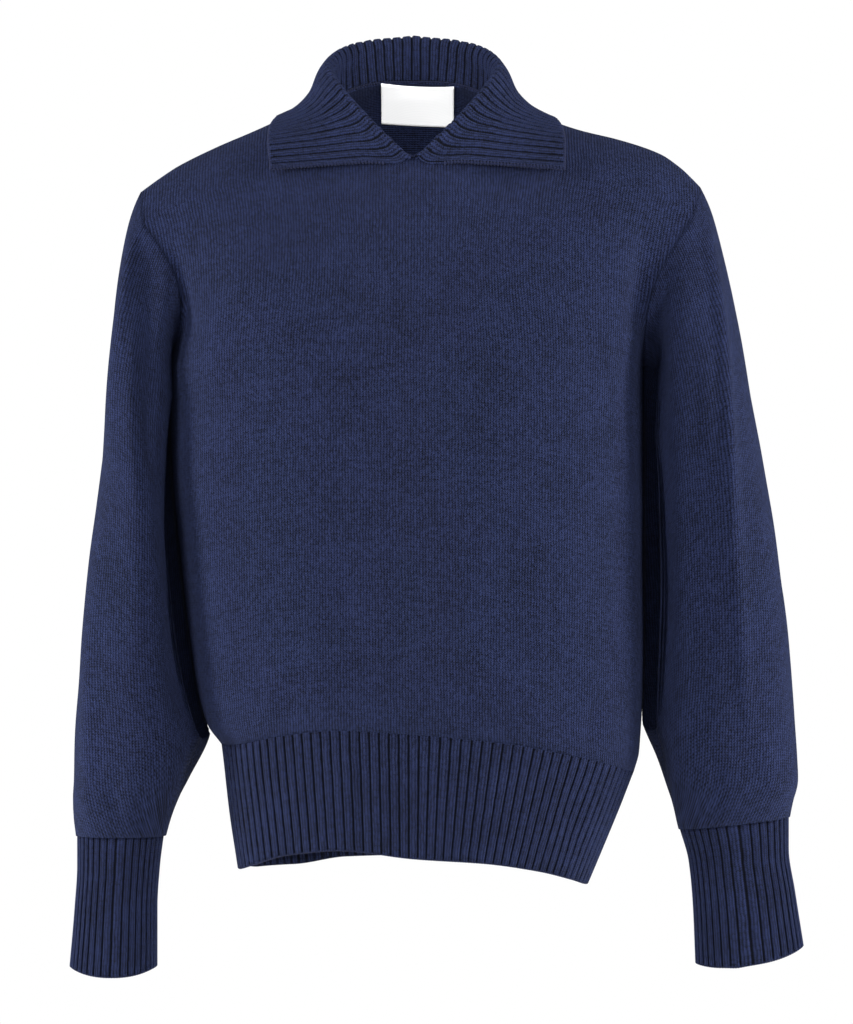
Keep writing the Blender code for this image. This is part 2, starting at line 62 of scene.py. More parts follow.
# Torso: half widths and depths from the armpit (down = 0) to the hem seam (down = 1)
ARMPIT_HEIGHT = -215.0
TORSO_ROUNDNESS = 2.4
TORSO = {
    "down": (0.0, 0.30, 0.50, 0.70, 0.85, 0.95, 1.0),
    "left": (184, 184, 184, 184, 183, 181, 176.5),
    "right": (195, 192, 186, 179, 172, 164, 153),
    "front": (121, 120, 117, 113, 110, 107, 102),
    "back": (112, 106, 101, 99, 99, 98, 95),
}

# Hem: heights of its seam and its free edge, from the right side (-1) to the left side (1)
HEM_LINE = {
    "across": (-1.0, -0.9, -0.7, -0.4, 0.0, 0.4, 0.7, 0.9, 1.0),
    "front_seam": (-517, -515, -508, -502, -505.5, -512, -522.5, -532, -539),
    "front_edge": (-616, -610, -600.5, -596, -602, -606, -613, -621.5, -628),
    "back_seam": (-517, -515, -512, -510, -510, -514, -523, -532, -539),
    "back_edge": (-616, -619, -619, -614, -613, -615, -620, -625, -628),
}
HEM_EDGE = {"left": 140, "right": 140.5, "front": 96, "back": 97}
HEM_BULGE = 0.5
HEM_RIBS = 56

# Shoulders: how far the seam drops from the neck (along = 0) to the tip (along = 1)
NECK_HALF_WIDTH = 66.0
SHOULDER_TIP = {LEFT: 230.0, RIGHT: 218.0}
SHOULDER = {
    "along": (0.0, 0.2, 0.4, 0.6, 0.8, 0.9, 1.0),
    "left": (0, -14, -26, -34, -45, -56, -72),
    "right": (0, -13, -27, -40, -55, -65, -76),
}
SHOULDER_SEAM_BACK = 4.0
NECK_CROWN = 30.0
NECK_CROWN_POWER = 1.6
NECKLINE = {FRONT: {"drop": -55.0, "power": 1.25}, BACK: {"drop": 18.0, "power": 2.5}}
PROFILE_POWER = {FRONT: (1.4, 2.1), BACK: (2.9, 2.2)}
NECK_EASE_ROWS = 12
NECK_EASE_WIDTH = 150.0
NECK_EASE_PASSES = 60

# Armholes
ARMHOLE_DEPTH = {FRONT: 52.0, BACK: 56.0}
ARMHOLE_BOW = {LEFT: 13.0, RIGHT: 20.0}
ARMHOLE_BOW_END = 0.8
ARMHOLE_POWER = 0.55
ROW_EASE = 1.3

# Sleeves and cuffs: distances from the middle of the body, from just below the armpit down
SLEEVE_ROUNDNESS = 2.3
SLEEVE_CLEARANCE = 3.0
CLEARED_ABOVE = 2.0
SHORT_STEP = 10.0
# How a sleeve leaves the armhole, at the armpit and at the shoulder tip
LEAVE_OUTWARDS = (34.0, 62.0)
LEAVE_DOWNWARDS = (10.0, 120.0)
LEAVE_FORWARDS = 22.0
ARMPIT_TUCK = 24.0
ARMPIT_TUCK_POWER = 6
SLEEVE = {
    LEFT: {
        "height": (-262, -330, -397, -450, -490, -530, -548, -566, -580),
        "inner": (174, 174, 174, 175, 178, 193, 200, 208, 212),
        "outer": (273, 284, 293, 299, 302, 305, 306, 303, 301),
        "front": (74, 72, 68, 64, 58, 52, 48, 42, 36),
        "back": (68, 62, 54, 48, 42, 36, 32, 27, 22),
        "tilt": (0, 0, 0, 0, 0, 1, 2, 4, 5),
    },
    RIGHT: {
        "height": (-262, -330, -400, -460, -505, -546, -560, -576, -590),
        "inner": (184, 180, 172, 166, 160, 178, 186, 193, 197),
        "outer": (244, 249, 257, 263, 267, 269, 270, 270, 269),
        "front": (76, 74, 72, 68, 62, 56, 52, 46, 40),
        "back": (74, 70, 62, 54, 46, 40, 36, 31, 26),
        "tilt": (0, 0, 0, 0, 0, 0, 0, 0, 0),
    },
}
CUFF = {
    LEFT: {
        "height": (-580, -605, -640, -685),
        "inner": (213, 220, 223.5, 225.5),
        "outer": (300, 300, 305, 312),
        "front": (34, 28, 26, 26),
        "back": (20, 14, 13, 14),
        "tilt": (5, 5, 6, 7),
    },
    RIGHT: {
        "height": (-590, -614, -647, -694),
        "inner": (199, 202, 204, 204),
        "outer": (268, 268, 270, 274),
        "front": (38, 34, 33, 34),
        "back": (24, 20, 18, 18),
        "tilt": (0, 0, 0, 0),
    },
}
CUFF_FRONT_DROP = 7.0
CUFF_RIBS = 36

# Collar: the fold's crest and the free edge at each turn round the neck, back 0 to front 180
COLLAR = {
    "turn": (0, 35, 65, 90, 115, 145, 180),
    "roll_x": (0, 42, 63, 69, 60, 38, 4),
    "roll_y": (65, 55, 30, 3, -28, -53, -70),
    "roll_z": (55, 49, 38, 26, 8, -19, -53),
    "edge_x": (0, 54, 93, 109, 115, 116.5, 115),
    "edge_y": (86, 76, 46, 6, -32, -56, -72),
    "edge_z": (-16, -15, -14, -16, -26, -39, -62.5),
    "fold": (4.2, 4.2, 4.2, 4.2, 4.0, 3.4, 2.0),
    "sag": (2, 4, 8, 9, 7, 3, 0),
}
COLLAR_RIBS = 56
COLLAR_LEAN = 3.7
COLLAR_FRONT_GAP = 1.6
COLLAR_ABOVE_NECK = 0.9
COLLAR_FRONT_LIFT = 1.9
COLLAR_ABOVE_BODY = 1.2
COLLAR_FRONT_FROM = 150
LEAF_STEPS = (0.3, 0.55, 0.8, 1.0)
SAG_POWER = 0.7
LINKING_DROP = 1.2

# Neck label
LABEL = {"left": 33.0, "right": -26.0, "top": 14.6, "height": 30.0, "slope": -0.05}
LABEL_GAP = 0.7
LINING_STEP = 0.25
LABEL_LEAN = 1.4
SEWING_LIFT = 0.1

# Stitches along edges: their pitch, how much of it each one fills, and their width, height and lean
STITCH_COLUMNS = ("Pitch", "Length", "Width", "Height", "Lean")
STITCHES = {
    "bound_edge": (2.1, 1.35, 2.4, 1.4, 0.5),
    "collar_end": (2.6, 0.78, 3.6, 3.4, 0.35),
    "collar_edge": (2.1, 1.35, 2.6, 2.0, 0.4),
    "linking": (2.6, 1.35, 1.6, 1.6, 0.3),
    "sewing": (2.2, 1.35, 0.5, 0.5, 0.0),
}

# How finely each form is divided
NECK_STEPS = 24
SHOULDER_STEPS = 56
LOWER_ROWS = 70
ARMHOLE_ROWS = 120
SLEEVE_HEAD_ROWS = 36
SLEEVE_ROWS = 90
POINTS_A_RIB = 12
HEM_ROWS = 22
CUFF_ROWS = 26
COLLAR_ROWS = 44
CREST_ROW = COLLAR_ROWS // 3
FREE_ROW = COLLAR_ROWS // 5
END_ROW = COLLAR_ROWS // 4
FINE_HALF_TURN = 721
FINE_TURN = 181
LABEL_COLUMNS, LABEL_ROWS = 40, 20

# Creases, from one end (x, z) to the other, seen from the front. A height below 0 is a trough.
CREASE_COLUMNS = ("side", "x0", "z0", "x1", "z1", "bend", "width", "height")
TORSO_CREASES = (
    (FRONT, -52, -300, -45, -500, 5, 15, -1.8),
    (FRONT, -20, -250, -14, -470, -4, 26, 0.9),
    (FRONT, 70, -330, 84, -500, 4, 30, -1.0),
    (FRONT, 147, -480, 138, -535, 3, 7, -3.0),
    (FRONT, 120, -440, 128, -520, 2, 16, -1.4),
    (FRONT, -163, -250, -158, -500, 0, 14, 1.6),
    (FRONT, 184, -98, 168, -190, -4, 9, -4.5),
    (FRONT, 168, -120, 140, -250, -8, 15, 1.6),
    (FRONT, -190, -120, -172, -200, 5, 9, -3.6),
    (FRONT, -166, -130, -140, -260, 8, 16, 1.4),
    (FRONT, -110, -90, -60, -190, 6, 26, -1.0),
    (FRONT, 100, -84, 60, -200, -6, 28, -1.1),
    (FRONT, -96, -470, -88, -515, 3, 10, -1.5),
    (FRONT, 36, -465, 40, -512, -3, 12, -1.3),
    (BACK, -60, -180, -52, -480, -6, 20, -2.2),
    (BACK, 46, -240, 58, -500, 5, 17, -2.0),
    (BACK, -4, -120, 6, -420, 0, 34, 1.2),
    (BACK, 178, -110, 140, -270, -9, 13, -3.6),
    (BACK, -184, -116, -148, -280, 9, 14, -3.2),
    (BACK, 118, -380, 128, -520, 3, 12, -2.2),
    (BACK, -112, -410, -120, -505, -3, 11, -2.0),
)
SLEEVE_CREASES = {
    LEFT: (
        (FRONT, 280, -240, 306, -600, 4, 22, 2.4),
        (BACK, 280, -240, 306, -600, 4, 22, 2.4),
        (FRONT, 229, -70, 250, -350, -5, 5, 5.0),
        (FRONT, 247, -240, 266, -520, 2, 7, 4.0),
        (FRONT, 184, -190, 186, -580, -2, 23, -17.0),
        (FRONT, 218, -180, 226, -540, -4, 12, -4.5),
        (FRONT, 196, -120, 186, -270, 3, 10, -8.0),
        (FRONT, 262, -330, 286, -400, 5, 9, -1.3),
        (FRONT, 276, -500, 290, -566, 2, 8, 1.5),
        (FRONT, 236, -520, 240, -574, -2, 7, -2.0),
        (FRONT, 214, -545, 222, -578, 1, 6, -1.8),
        (BACK, 238, -110, 252, -320, 4, 10, -2.8),
        (BACK, 262, -300, 272, -460, 3, 12, 1.8),
        (BACK, 218, -260, 230, -420, -4, 10, -3.0),
        (BACK, 250, -500, 246, -572, 2, 8, -2.0),
    ),
    RIGHT: (
        (FRONT, -244, -180, -274, -600, -4, 20, 2.8),
        (BACK, -244, -180, -274, -600, -4, 20, 2.8),
        (FRONT, -216, -80, -237, -300, 5, 5, 5.0),
        (FRONT, -245, -290, -257, -600, 2, 7, 4.0),
        (FRONT, -208, -110, -204, -330, 3, 11, -9.0),
        (FRONT, -222, -250, -234, -430, 4, 13, -2.4),
        (FRONT, -184, -240, -166, -580, 3, 21, -14.0),
        (FRONT, -236, -530, -232, -584, 2, 7, -1.9),
        (FRONT, -212, -548, -214, -586, 1, 6, -1.6),
        (BACK, -226, -120, -238, -330, 5, 10, -2.6),
        (BACK, -214, -300, -226, -500, -4, 12, -2.6),
        (BACK, -248, -360, -252, -520, 3, 10, 1.6),
        (BACK, -230, -520, -236, -584, 2, 8, -1.8),
    ),
}
HEM_CREASES = (
    (FRONT, -38, -508, -40, -604, 1, 8, -1.8),
    (FRONT, 132, -540, 124, -600, 2, 9, -1.8),
    (FRONT, 60, -520, 58, -590, 2, 18, 1.0),
    (BACK, 40, -512, 44, -606, 2, 9, -1.8),
    (BACK, -84, -512, -78, -600, 2, 11, -1.6),
)
SEAM_FADE = 6
SIDE_FADE = 10
UPRIGHT_ROWS = 80
CREASE_FADE_POWER = 0.8
CREASE_SIDE_WIDTH = 20.0
UNEVEN_HEIGHT = 0.7
UNEVEN_SIZE = 55.0

# Knit pattern: what each part of it adds to the cloth's tone, and its sizes in millimetres
DRIFT = 0.9
DRIFT_SIZE = 6 * WALE
LEG_SLANT = -1.5
PURL_SLANT = 0.35
KNIT_RELIEF = (0.24, 0.22)
PURL_RELIEF = (0.12, 0.4)
FIBRE_SIZE = 0.8 * WALE
FIBRE_SHARE = 0.8
PATCH_SIZE = 38.0
PATCH_SHARE = 0.35
BAND_LENGTH = 120.0
BAND_HEIGHT = 2.2 * COURSE
BAND_SHARE = 0.2
STITCH_SHARE = 0.35
DARK_TONE, LIGHT_TONE = 0.9, 1.85
GROOVE_PLACE = 0.86
GROOVE_HALF_WIDTH = 0.2
# How much painted shade darkens the colour in the rib grooves.
GROOVE_PAINTED_SHADE = 0.6
RIB_ROUNDNESS = 0.5
PLY_SIZE = 0.8
TWIST_SIZE = 0.5
WEFT_DRAWN = 0.8

# Camera, lights and floor: places and sizes in metres, the sensor in millimetres
SENSOR_WIDTH = 36.0
CAMERA_PLACE = (0.0108, -3.6, -0.332)
SEEN_HEIGHT = 0.8192
LIGHT_COLUMNS = ("name", "place", "size", "watts")
SOFT_LIGHTS = (
    ("left softbox", (-2.3, -2.3, 0.5), (1.1, 1.6), 112),
    ("right softbox", (2.3, -2.3, 0.3), (1.1, 1.6), 104),
    ("front", (0.0, -3.5, 0.3), (0.6, 0.6), 22),
    ("left strip", (-2.0, -0.3, -0.1), (0.4, 2.0), 80),
    ("right strip", (2.0, -0.3, 0.0), (0.4, 2.0), 80),
)
LIGHT_TARGET = (0.0, 0.0, -0.3)
NECK_BEAM = {
    "place": (0.0, -3.5, 0.1),
    "target": (0.004, 0.05, 0.0),
    "watts": 560,
    "degrees": 5,
    "radius": 0.12,
}
WORLD_FILL = 0.2
FLOOR_HEIGHT = -1.35
FLOOR_REACH = 5.0
FLOOR_FAR_EDGE = 2.5
MOTTLE_SIZE = 1 / 3

# Colours, as sRGB hex
NAVY = "1D2440"
# NAVY_SHADE is the dark end of the knit's colour: painted shade in the stitch gaps and rib grooves, and the
# darker side of the yarn's uneven tone.
NAVY_SHADE = "04050B"
NAVY_FUZZ = "6E7CAE"
YARN_NAVY = "1D2340"
LABEL_WHITE = "FDFDFD"
LABEL_SHADE = "F1F2F4"
THREAD_WHITE = "EDEDEA"
FLOOR_WHITE = "F4F4F4"
FLOOR_SHADE = "F1F1F1"


def linear(colour):
    """An sRGB hex colour as linear red, green, blue and alpha."""
    parts = [int(colour[i : i + 2], 16) / 255 for i in (0, 2, 4)]
    return [p / 12.92 if p <= 0.04045 else ((p + 0.055) / 1.055) ** 2.4 for p in parts] + [1.0]


def smooth(table, key, column, at):
    """A column of a table read between its rows, on a smooth curve with no overshoot."""
    places = np.asarray(table[key], float)
    values = np.asarray(table[column], float)
    if places[0] > places[-1]:
        places, at = -places, -np.asarray(at, float)
    steps = np.diff(places)
    slopes = np.diff(values) / steps
    both = slopes[:-1] * slopes[1:]
    total = np.where(both > 0, slopes[:-1] + slopes[1:], 1.0)
    tangents = np.concatenate([slopes[:1], np.where(both > 0, 2 * both / total, 0.0), slopes[-1:]])
    at = np.clip(np.asarray(at, float), places[0], places[-1])
    row = np.clip(np.searchsorted(places, at, side="right") - 1, 0, len(steps) - 1)
    share = (at - places[row]) / steps[row]
    return hermite(
        values[row], tangents[row] * steps[row], values[row + 1], tangents[row + 1] * steps[row], share
    )


def hermite(start, leave, end, arrive, share):
    square, cube = share**2, share**3
    return (
        start * (2 * cube - 3 * square + 1)
        + leave * (cube - 2 * square + share)
        + end * (3 * square - 2 * cube)
        + arrive * (cube - square)
    )


def signed_power(value, power):
    return np.sign(value) * np.abs(value) ** power


def mix(a, b, share):
    return a + (b - a) * share


def lengths_along(points):
    """The distance walked along a row of points, from 0 to 1."""
    walked = np.concatenate([[0.0], np.cumsum(np.linalg.norm(np.diff(points, axis=0), axis=1))])
    return walked / walked[-1]


def by_side(across, left, right):
    return np.where(across < 0, right, left)


def hem_height(facing, across, line):
    name = ("front_" if facing == FRONT else "back_") + line
    return smooth(HEM_LINE, "across", name, across)


def torso_depth(facing, down):
    return smooth(TORSO, "down", "front" if facing == FRONT else "back", down)


def torso_half_width(across, down):
    left = smooth(TORSO, "down", "left", down)
    return by_side(across, left, smooth(TORSO, "down", "right", down))


def lower_row(facing, across, around, down):
    """One row between the armpits (down = 0) and the hem seam (down = 1)."""
    seam = hem_height(facing, across, "seam")
    x = across * torso_half_width(across, down)
    y = facing * torso_depth(facing, down) * around
    return np.stack([x, y, ARMPIT_HEIGHT + (seam - ARMPIT_HEIGHT) * down], axis=-1)


def upper_row(facing, across, around, up):
    """One row between the armpits (up = 0) and the shoulder seams and neckline (up = 1)."""
    tip = by_side(across, SHOULDER_TIP[LEFT], SHOULDER_TIP[RIGHT])
    top_x = np.abs(across) * tip
    along = (top_x - NECK_HALF_WIDTH) / (tip - NECK_HALF_WIDTH)
    left = smooth(SHOULDER, "along", "left", along)
    seam = by_side(across, left, smooth(SHOULDER, "along", "right", along))
    neck = np.clip(top_x / NECK_HALF_WIDTH, 0, 1)
    crown = seam + NECK_CROWN * (1 - neck**NECK_CROWN_POWER)
    line = NECKLINE[facing]
    end = seam + line["drop"] * (1 - neck ** line["power"])
    middle, edge = PROFILE_POWER[facing]
    power = mix(middle, edge, np.abs(across))
    reach = (end - ARMPIT_HEIGHT) / (crown - ARMPIT_HEIGHT)
    turn = np.arcsin(np.clip(reach, 0, 1) ** (power / 2)) * up**ROW_EASE
    z = ARMPIT_HEIGHT + (crown - ARMPIT_HEIGHT) * np.sin(turn) ** (2 / power)
    height = (z - ARMPIT_HEIGHT) / (crown - ARMPIT_HEIGHT)
    depth = torso_depth(facing, 0.0) * around * np.clip(np.cos(turn), 0, 1) ** (2 / power)
    opening = ARMHOLE_DEPTH[facing] * np.clip(4 * height * (1 - height), 0, 1) ** ARMHOLE_POWER
    depth = (depth**3 + (opening * across**4) ** 3) ** (1 / 3)
    bow = by_side(across, ARMHOLE_BOW[LEFT], ARMHOLE_BOW[RIGHT])
    bow = bow * np.sin(np.pi * np.clip(height / ARMHOLE_BOW_END, 0, 1))
    x = across * mix(torso_half_width(across, 0.0), tip, height) - across**3 * bow
    y = SHOULDER_SEAM_BACK * height + facing * depth
    return np.stack([x, y, z], axis=-1)


def across_and_around(angles):
    turn = np.radians(angles)
    across = signed_power(np.sin(turn), 2 / TORSO_ROUNDNESS)
    return across, np.clip(np.cos(turn), 0, 1) ** (2 / TORSO_ROUNDNESS)


def torso_row(facing, angles, level):
    """One row of a panel. Level 0 is the hem seam, 1 the armpits and 2 the top."""
    across, around = across_and_around(angles)
    if level <= 1:
        return lower_row(facing, across, around, 1 - level)
    return upper_row(facing, across, around, level - 1)


def neck_angle(side, share):
    """The panel column that meets the neckline at this share of the neck's half width."""
    across = NECK_HALF_WIDTH * share / SHOULDER_TIP[side]
    return side * math.degrees(math.asin(across ** (TORSO_ROUNDNESS / 2)))


def panel_columns():
    half = {}
    for side in (LEFT, RIGHT):
        neck = [neck_angle(side, share) for share in np.linspace(0, 1, NECK_STEPS + 1)[1:]]
        shoulder = np.linspace(neck[-1], side * 90, SHOULDER_STEPS + 1)[1:]
        half[side] = np.concatenate([neck, shoulder])
    return np.concatenate([half[RIGHT][::-1], [0.0], half[LEFT]])


def panel_grid(facing):
    lower = np.linspace(0, 1, LOWER_ROWS + 1)[:-1]
    levels = np.concatenate([lower, 1 + np.linspace(0, 1, ARMHOLE_ROWS + 1)])
    columns = panel_columns()
    return eased(np.array([torso_row(facing, columns, level) for level in levels]))


def eased(grid):
    """The same panel, with the bend below each end of the neckline smoothed out."""
    below_top = np.arange(len(grid))[::-1] / NECK_EASE_ROWS
    near_neck = (NECK_EASE_WIDTH - np.abs(grid[..., 0])) / NECK_HALF_WIDTH
    share = np.clip(below_top, 0, 1)[:, None] * np.clip(near_neck, 0, 1)
    for _ in range(NECK_EASE_PASSES):
        beside = (grid[:, 2:] + grid[:, :-2]) / 2
        grid[:, 1:-1] += (beside - grid[:, 1:-1]) * share[:, 1:-1, None] / 2
    return grid


def armhole_point(side, place):
    """A point of the armhole: 0 is the shoulder tip, 0.25 the front, 0.5 the armpit, 0.75 the back."""
    facing = FRONT if place <= 0.5 else BACK
    return torso_row(facing, np.array([side * 90.0]), 1 + abs(1 - 2 * place))[0]


def arm_section(table, side, places, height):
    """A ring of a sleeve or cuff at this height."""
    read = {name: smooth(table[side], "height", name, height) for name in table[side]}
    turn = 2 * np.pi * places
    outwards = signed_power(np.cos(turn), 2 / SLEEVE_ROUNDNESS)
    forwards = signed_power(np.sin(turn), 2 / SLEEVE_ROUNDNESS)
    middle, half = (read["outer"] + read["inner"]) / 2, (read["outer"] - read["inner"]) / 2
    x = side * (middle + half * outwards)
    y = (read["back"] - read["front"]) / 2 - (read["front"] + read["back"]) / 2 * forwards
    return np.stack([x, y, height + read["tilt"] * outwards], axis=-1)


def clear_of_torso(points, clearance):
    """Points of a sleeve, moved outwards where they would come too near the torso's side."""
    down = (ARMPIT_HEIGHT - points[:, 2]) / (ARMPIT_HEIGHT - HEM_LINE["front_seam"][0])
    facing_depth = np.where(points[:, 1] < 0, torso_depth(FRONT, down), torso_depth(BACK, down))
    inside = np.clip(1 - np.abs(points[:, 1] / facing_depth) ** TORSO_ROUNDNESS, 0, 1)
    reach = torso_half_width(points[:, 0], down) * inside ** (1 / TORSO_ROUNDNESS) + clearance
    near = (points[:, 2] < ARMPIT_HEIGHT + CLEARED_ABOVE) & (inside > 0)
    x = np.where(near, np.maximum(np.abs(points[:, 0]), reach), np.abs(points[:, 0]))
    return np.stack([np.sign(points[:, 0]) * x, points[:, 1], points[:, 2]], axis=-1)


def sleeve_head_row(side, places, share):
    """A ring between the armhole (share = 0) and the first full ring of the sleeve (share = 1)."""
    start = np.array([armhole_point(side, place) for place in places])
    top = SLEEVE[side]["height"][0]
    end = arm_section(SLEEVE, side, places, top)
    below = arm_section(SLEEVE, side, places, top - SHORT_STEP)
    upper = (1 + np.cos(2 * np.pi * places)) / 2
    outwards = mix(*LEAVE_OUTWARDS, upper) - ARMPIT_TUCK * (1 - upper) ** ARMPIT_TUCK_POWER
    forwards = -LEAVE_FORWARDS * np.sin(2 * np.pi * places)
    leave = np.stack([side * outwards, forwards, -mix(*LEAVE_DOWNWARDS, upper)], axis=-1)
    fall = (start[:, 2] - end[:, 2])[:, None] / SHORT_STEP
    return hermite(start, leave, end, (below - end) * fall, share)


def sleeve_grid(side):
    """Rings of the sleeve, each from the seam under the arm round the back to the seam again."""
    count = 2 * ARMHOLE_ROWS
    places = (0.5 + np.arange(count) / count) % 1
    rows = []
    for share in np.arange(SLEEVE_HEAD_ROWS) / SLEEVE_HEAD_ROWS:
        row = sleeve_head_row(side, places, share)
        rows.append(row if share == 0 else clear_of_torso(row, SLEEVE_CLEARANCE * share))
    heights = SLEEVE[side]["height"]
    for share in np.linspace(0, 1, SLEEVE_ROWS + 1):
        height = mix(heights[0], heights[-1], share)
        rows.append(clear_of_torso(arm_section(SLEEVE, side, places, height), SLEEVE_CLEARANCE))
    return np.array(rows)


def grid_normals(grid, closed):
    """Unit normals of a grid, from the cross product of its two directions."""
    if closed:
        sideways = np.roll(grid, -1, axis=1) - np.roll(grid, 1, axis=1)
    else:
        sideways = np.gradient(grid, axis=1)
    normals = np.cross(sideways, np.gradient(grid, axis=0))
    return normals / np.linalg.norm(normals, axis=-1, keepdims=True)


def level_normals(normals):
    """The same normals turned level, so that two bands meet on a level face."""
    flat = normals * np.array([1.0, 1.0, 0.0])
    return flat / np.linalg.norm(flat, axis=-1, keepdims=True)


def rib_columns(ribs):
    """Where the points across a row of ribs lie, in ribs."""
    return np.arange(ribs * POINTS_A_RIB + 1) / POINTS_A_RIB


def hem_row(facing, angles, down):
    across, around = across_and_around(angles)
    edge_width = by_side(across, HEM_EDGE["left"], HEM_EDGE["right"])
    bulge = HEM_BULGE * math.sin(math.pi * down)
    half = mix(torso_half_width(across, 1.0), edge_width, down) + bulge
    edge_depth = HEM_EDGE["front" if facing == FRONT else "back"]
    depth = mix(torso_depth(facing, 1.0), edge_depth, down) + bulge
    z = mix(hem_height(facing, across, "seam"), hem_height(facing, across, "edge"), down)
    return np.stack([across * half, facing * depth * around, z], axis=-1)


def hem_grid(facing):
    """Half the hem rib, from side seam to side seam, with its normals."""
    fine = np.linspace(-90, 90, FINE_HALF_TURN)
    walked = lengths_along(hem_row(facing, fine, 0.5))
    angles = np.interp(rib_columns(HEM_RIBS) / HEM_RIBS, walked, fine)
    grid = np.array([hem_row(facing, angles, down) for down in np.linspace(0, 1, HEM_ROWS + 1)])
    outwards = level_normals(grid_normals(grid, closed=False) * facing)
    outwards[:, [0, -1]] = np.array([[[-1.0, 0, 0], [1.0, 0, 0]]])
    return grid, outwards


def cuff_grid(side):
    places = rib_columns(CUFF_RIBS)[:-1] / CUFF_RIBS
    heights = CUFF[side]["height"]
    rows = []
    for share in np.linspace(0, 1, CUFF_ROWS + 1):
        row = arm_section(CUFF, side, places, mix(heights[0], heights[-1], share))
        forwards = np.sin(2 * np.pi * places)
        row[:, 2] -= CUFF_FRONT_DROP * share**2 * np.maximum(forwards, 0) ** 2
        rows.append(row)
    grid = np.array(rows)
    return grid, level_normals(grid_normals(grid, closed=True) * side)


def neck_seam(side, turn):
    """The neckline of the panels at this turn round the neck."""
    facing = BACK if turn < 90 else FRONT
    share = min(max(math.sin(math.radians(turn)), 0.0), 1.0)
    return torso_row(facing, np.array([neck_angle(side, share)]), 2.0)[0]


def collar_section(side, turn):
    """The middle of the collar's cloth at one turn: up the stand, over the fold, down the leaf."""
    read = {name: float(smooth(COLLAR, "turn", name, turn)) for name in COLLAR}
    base = neck_seam(side, turn) + np.array([0, 0, COLLAR_ABOVE_NECK])
    crest = np.array([side * read["roll_x"], read["roll_y"], read["roll_z"]])
    edge_x = side * read["edge_x"] + COLLAR_LEAN * turn / 180
    edge = np.array([edge_x, read["edge_y"], read["edge_z"]])
    front = max(turn - COLLAR_FRONT_FROM, 0) / (180 - COLLAR_FRONT_FROM)
    base += np.array([side * COLLAR_FRONT_GAP, 0, COLLAR_FRONT_LIFT]) * front
    up = np.array([0.0, 0.0, 1.0])
    out = (edge - base) * np.array([1.0, 1.0, 0.0])
    out /= np.linalg.norm(out)
    fold = read["fold"]
    before = crest - (out + up) * fold
    after = crest + (out - up) * fold
    rows = [base, mix(base, before, 0.5), before, crest, after]
    for step in LEAF_STEPS:
        rows.append(mix(after, edge, step) - up * read["sag"] * math.sin(math.pi * step**SAG_POWER))
    return curve_through(np.array(rows), COLLAR_ROWS)


def curve_through(points, count):
    """A smooth row of points through a few given ones, evenly spaced by their chords."""
    places = np.concatenate([[0.0], np.cumsum(np.linalg.norm(np.diff(points, axis=0), axis=1))])
    slopes = np.gradient(points, places, axis=0)
    at = np.linspace(0, places[-1], count + 1)
    row = np.clip(np.searchsorted(places, at, side="right") - 1, 0, len(places) - 2)
    step = (places[row + 1] - places[row])[:, None]
    share = (at - places[row])[:, None] / step
    return hermite(points[row], slopes[row] * step, points[row + 1], slopes[row + 1] * step, share)


def outside(tree, point, distance):
    """The point, moved out along the cloth's normal until it is this far from the cloth."""
    place, normal, _, _ = tree.find_nearest(Vector(point))
    short = distance - (Vector(point) - place).dot(normal)
    return np.array(Vector(point) + normal * max(short, 0.0))


def collar_grid(body):
    """The middle of the collar's cloth, from its front end on the right round to the left."""
    fine = np.linspace(-180, 180, FINE_TURN)
    sections = np.array([collar_section(LEFT if turn >= 0 else RIGHT, abs(turn)) for turn in fine])
    crests = sections[:, CREST_ROW]
    shares = rib_columns(COLLAR_RIBS) / COLLAR_RIBS
    turns = np.interp(shares, lengths_along(crests), fine)
    sections = [collar_section(LEFT if turn >= 0 else RIGHT, abs(turn)) for turn in turns]
    grid = np.array(sections).transpose(1, 0, 2)
    distance = RIB_THICKNESS / 2 + COLLAR_ABOVE_BODY
    for row in range(FREE_ROW, len(grid)):
        for column in range(grid.shape[1]):
            grid[row, column] = outside(body, grid[row, column], distance)
    return grid, grid_normals(grid, closed=False)


def cloth_tree(grids, turned):
    """The faces of some grids, each turned round or not, for what lies on that cloth."""
    points, triangles = [], []
    for grid, turn in zip(grids, turned):
        rows, columns = grid.shape[:2]
        start = len(points)
        points += grid.reshape(-1, 3).tolist()
        for a, b, c, d in (start + quad_indices(rows, columns, columns)).tolist():
            triangles += [(c, b, a), (d, c, a)] if turn else [(a, b, c), (a, c, d)]
    return BVHTree.FromPolygons(points, triangles)


def skin_normals(grids):
    """Normals of the panels and sleeves, shared where they meet, so that seams are mitred."""
    points, totals = [], []
    for grid, closed, turned in grids:
        ahead = np.roll(grid, -1, axis=1) if closed else grid[:, 1:]
        here = grid if closed else grid[:, :-1]
        across = np.cross(ahead[1:] - here[:-1], here[1:] - ahead[:-1]) * turned
        total = np.zeros_like(grid)
        columns = np.arange(here.shape[1])
        beside = (columns + 1) % grid.shape[1]
        for rows in (slice(0, -1), slice(1, None)):
            total[rows, columns] += across
            total[rows, beside] += across
        points.append(grid.reshape(-1, 3))
        totals.append(total.reshape(-1, 3))
    _, index = np.unique(np.round(np.concatenate(points), 3), axis=0, return_inverse=True)
    index = index.ravel()
    merged = np.zeros((index.max() + 1, 3))
    np.add.at(merged, index, np.concatenate(totals))
    merged /= np.linalg.norm(merged, axis=1, keepdims=True)
    shared, start = [], 0
    for grid, _, _ in grids:
        count = grid.shape[0] * grid.shape[1]
        shared.append(merged[index[start : start + count]].reshape(grid.shape))
        start += count
    return shared


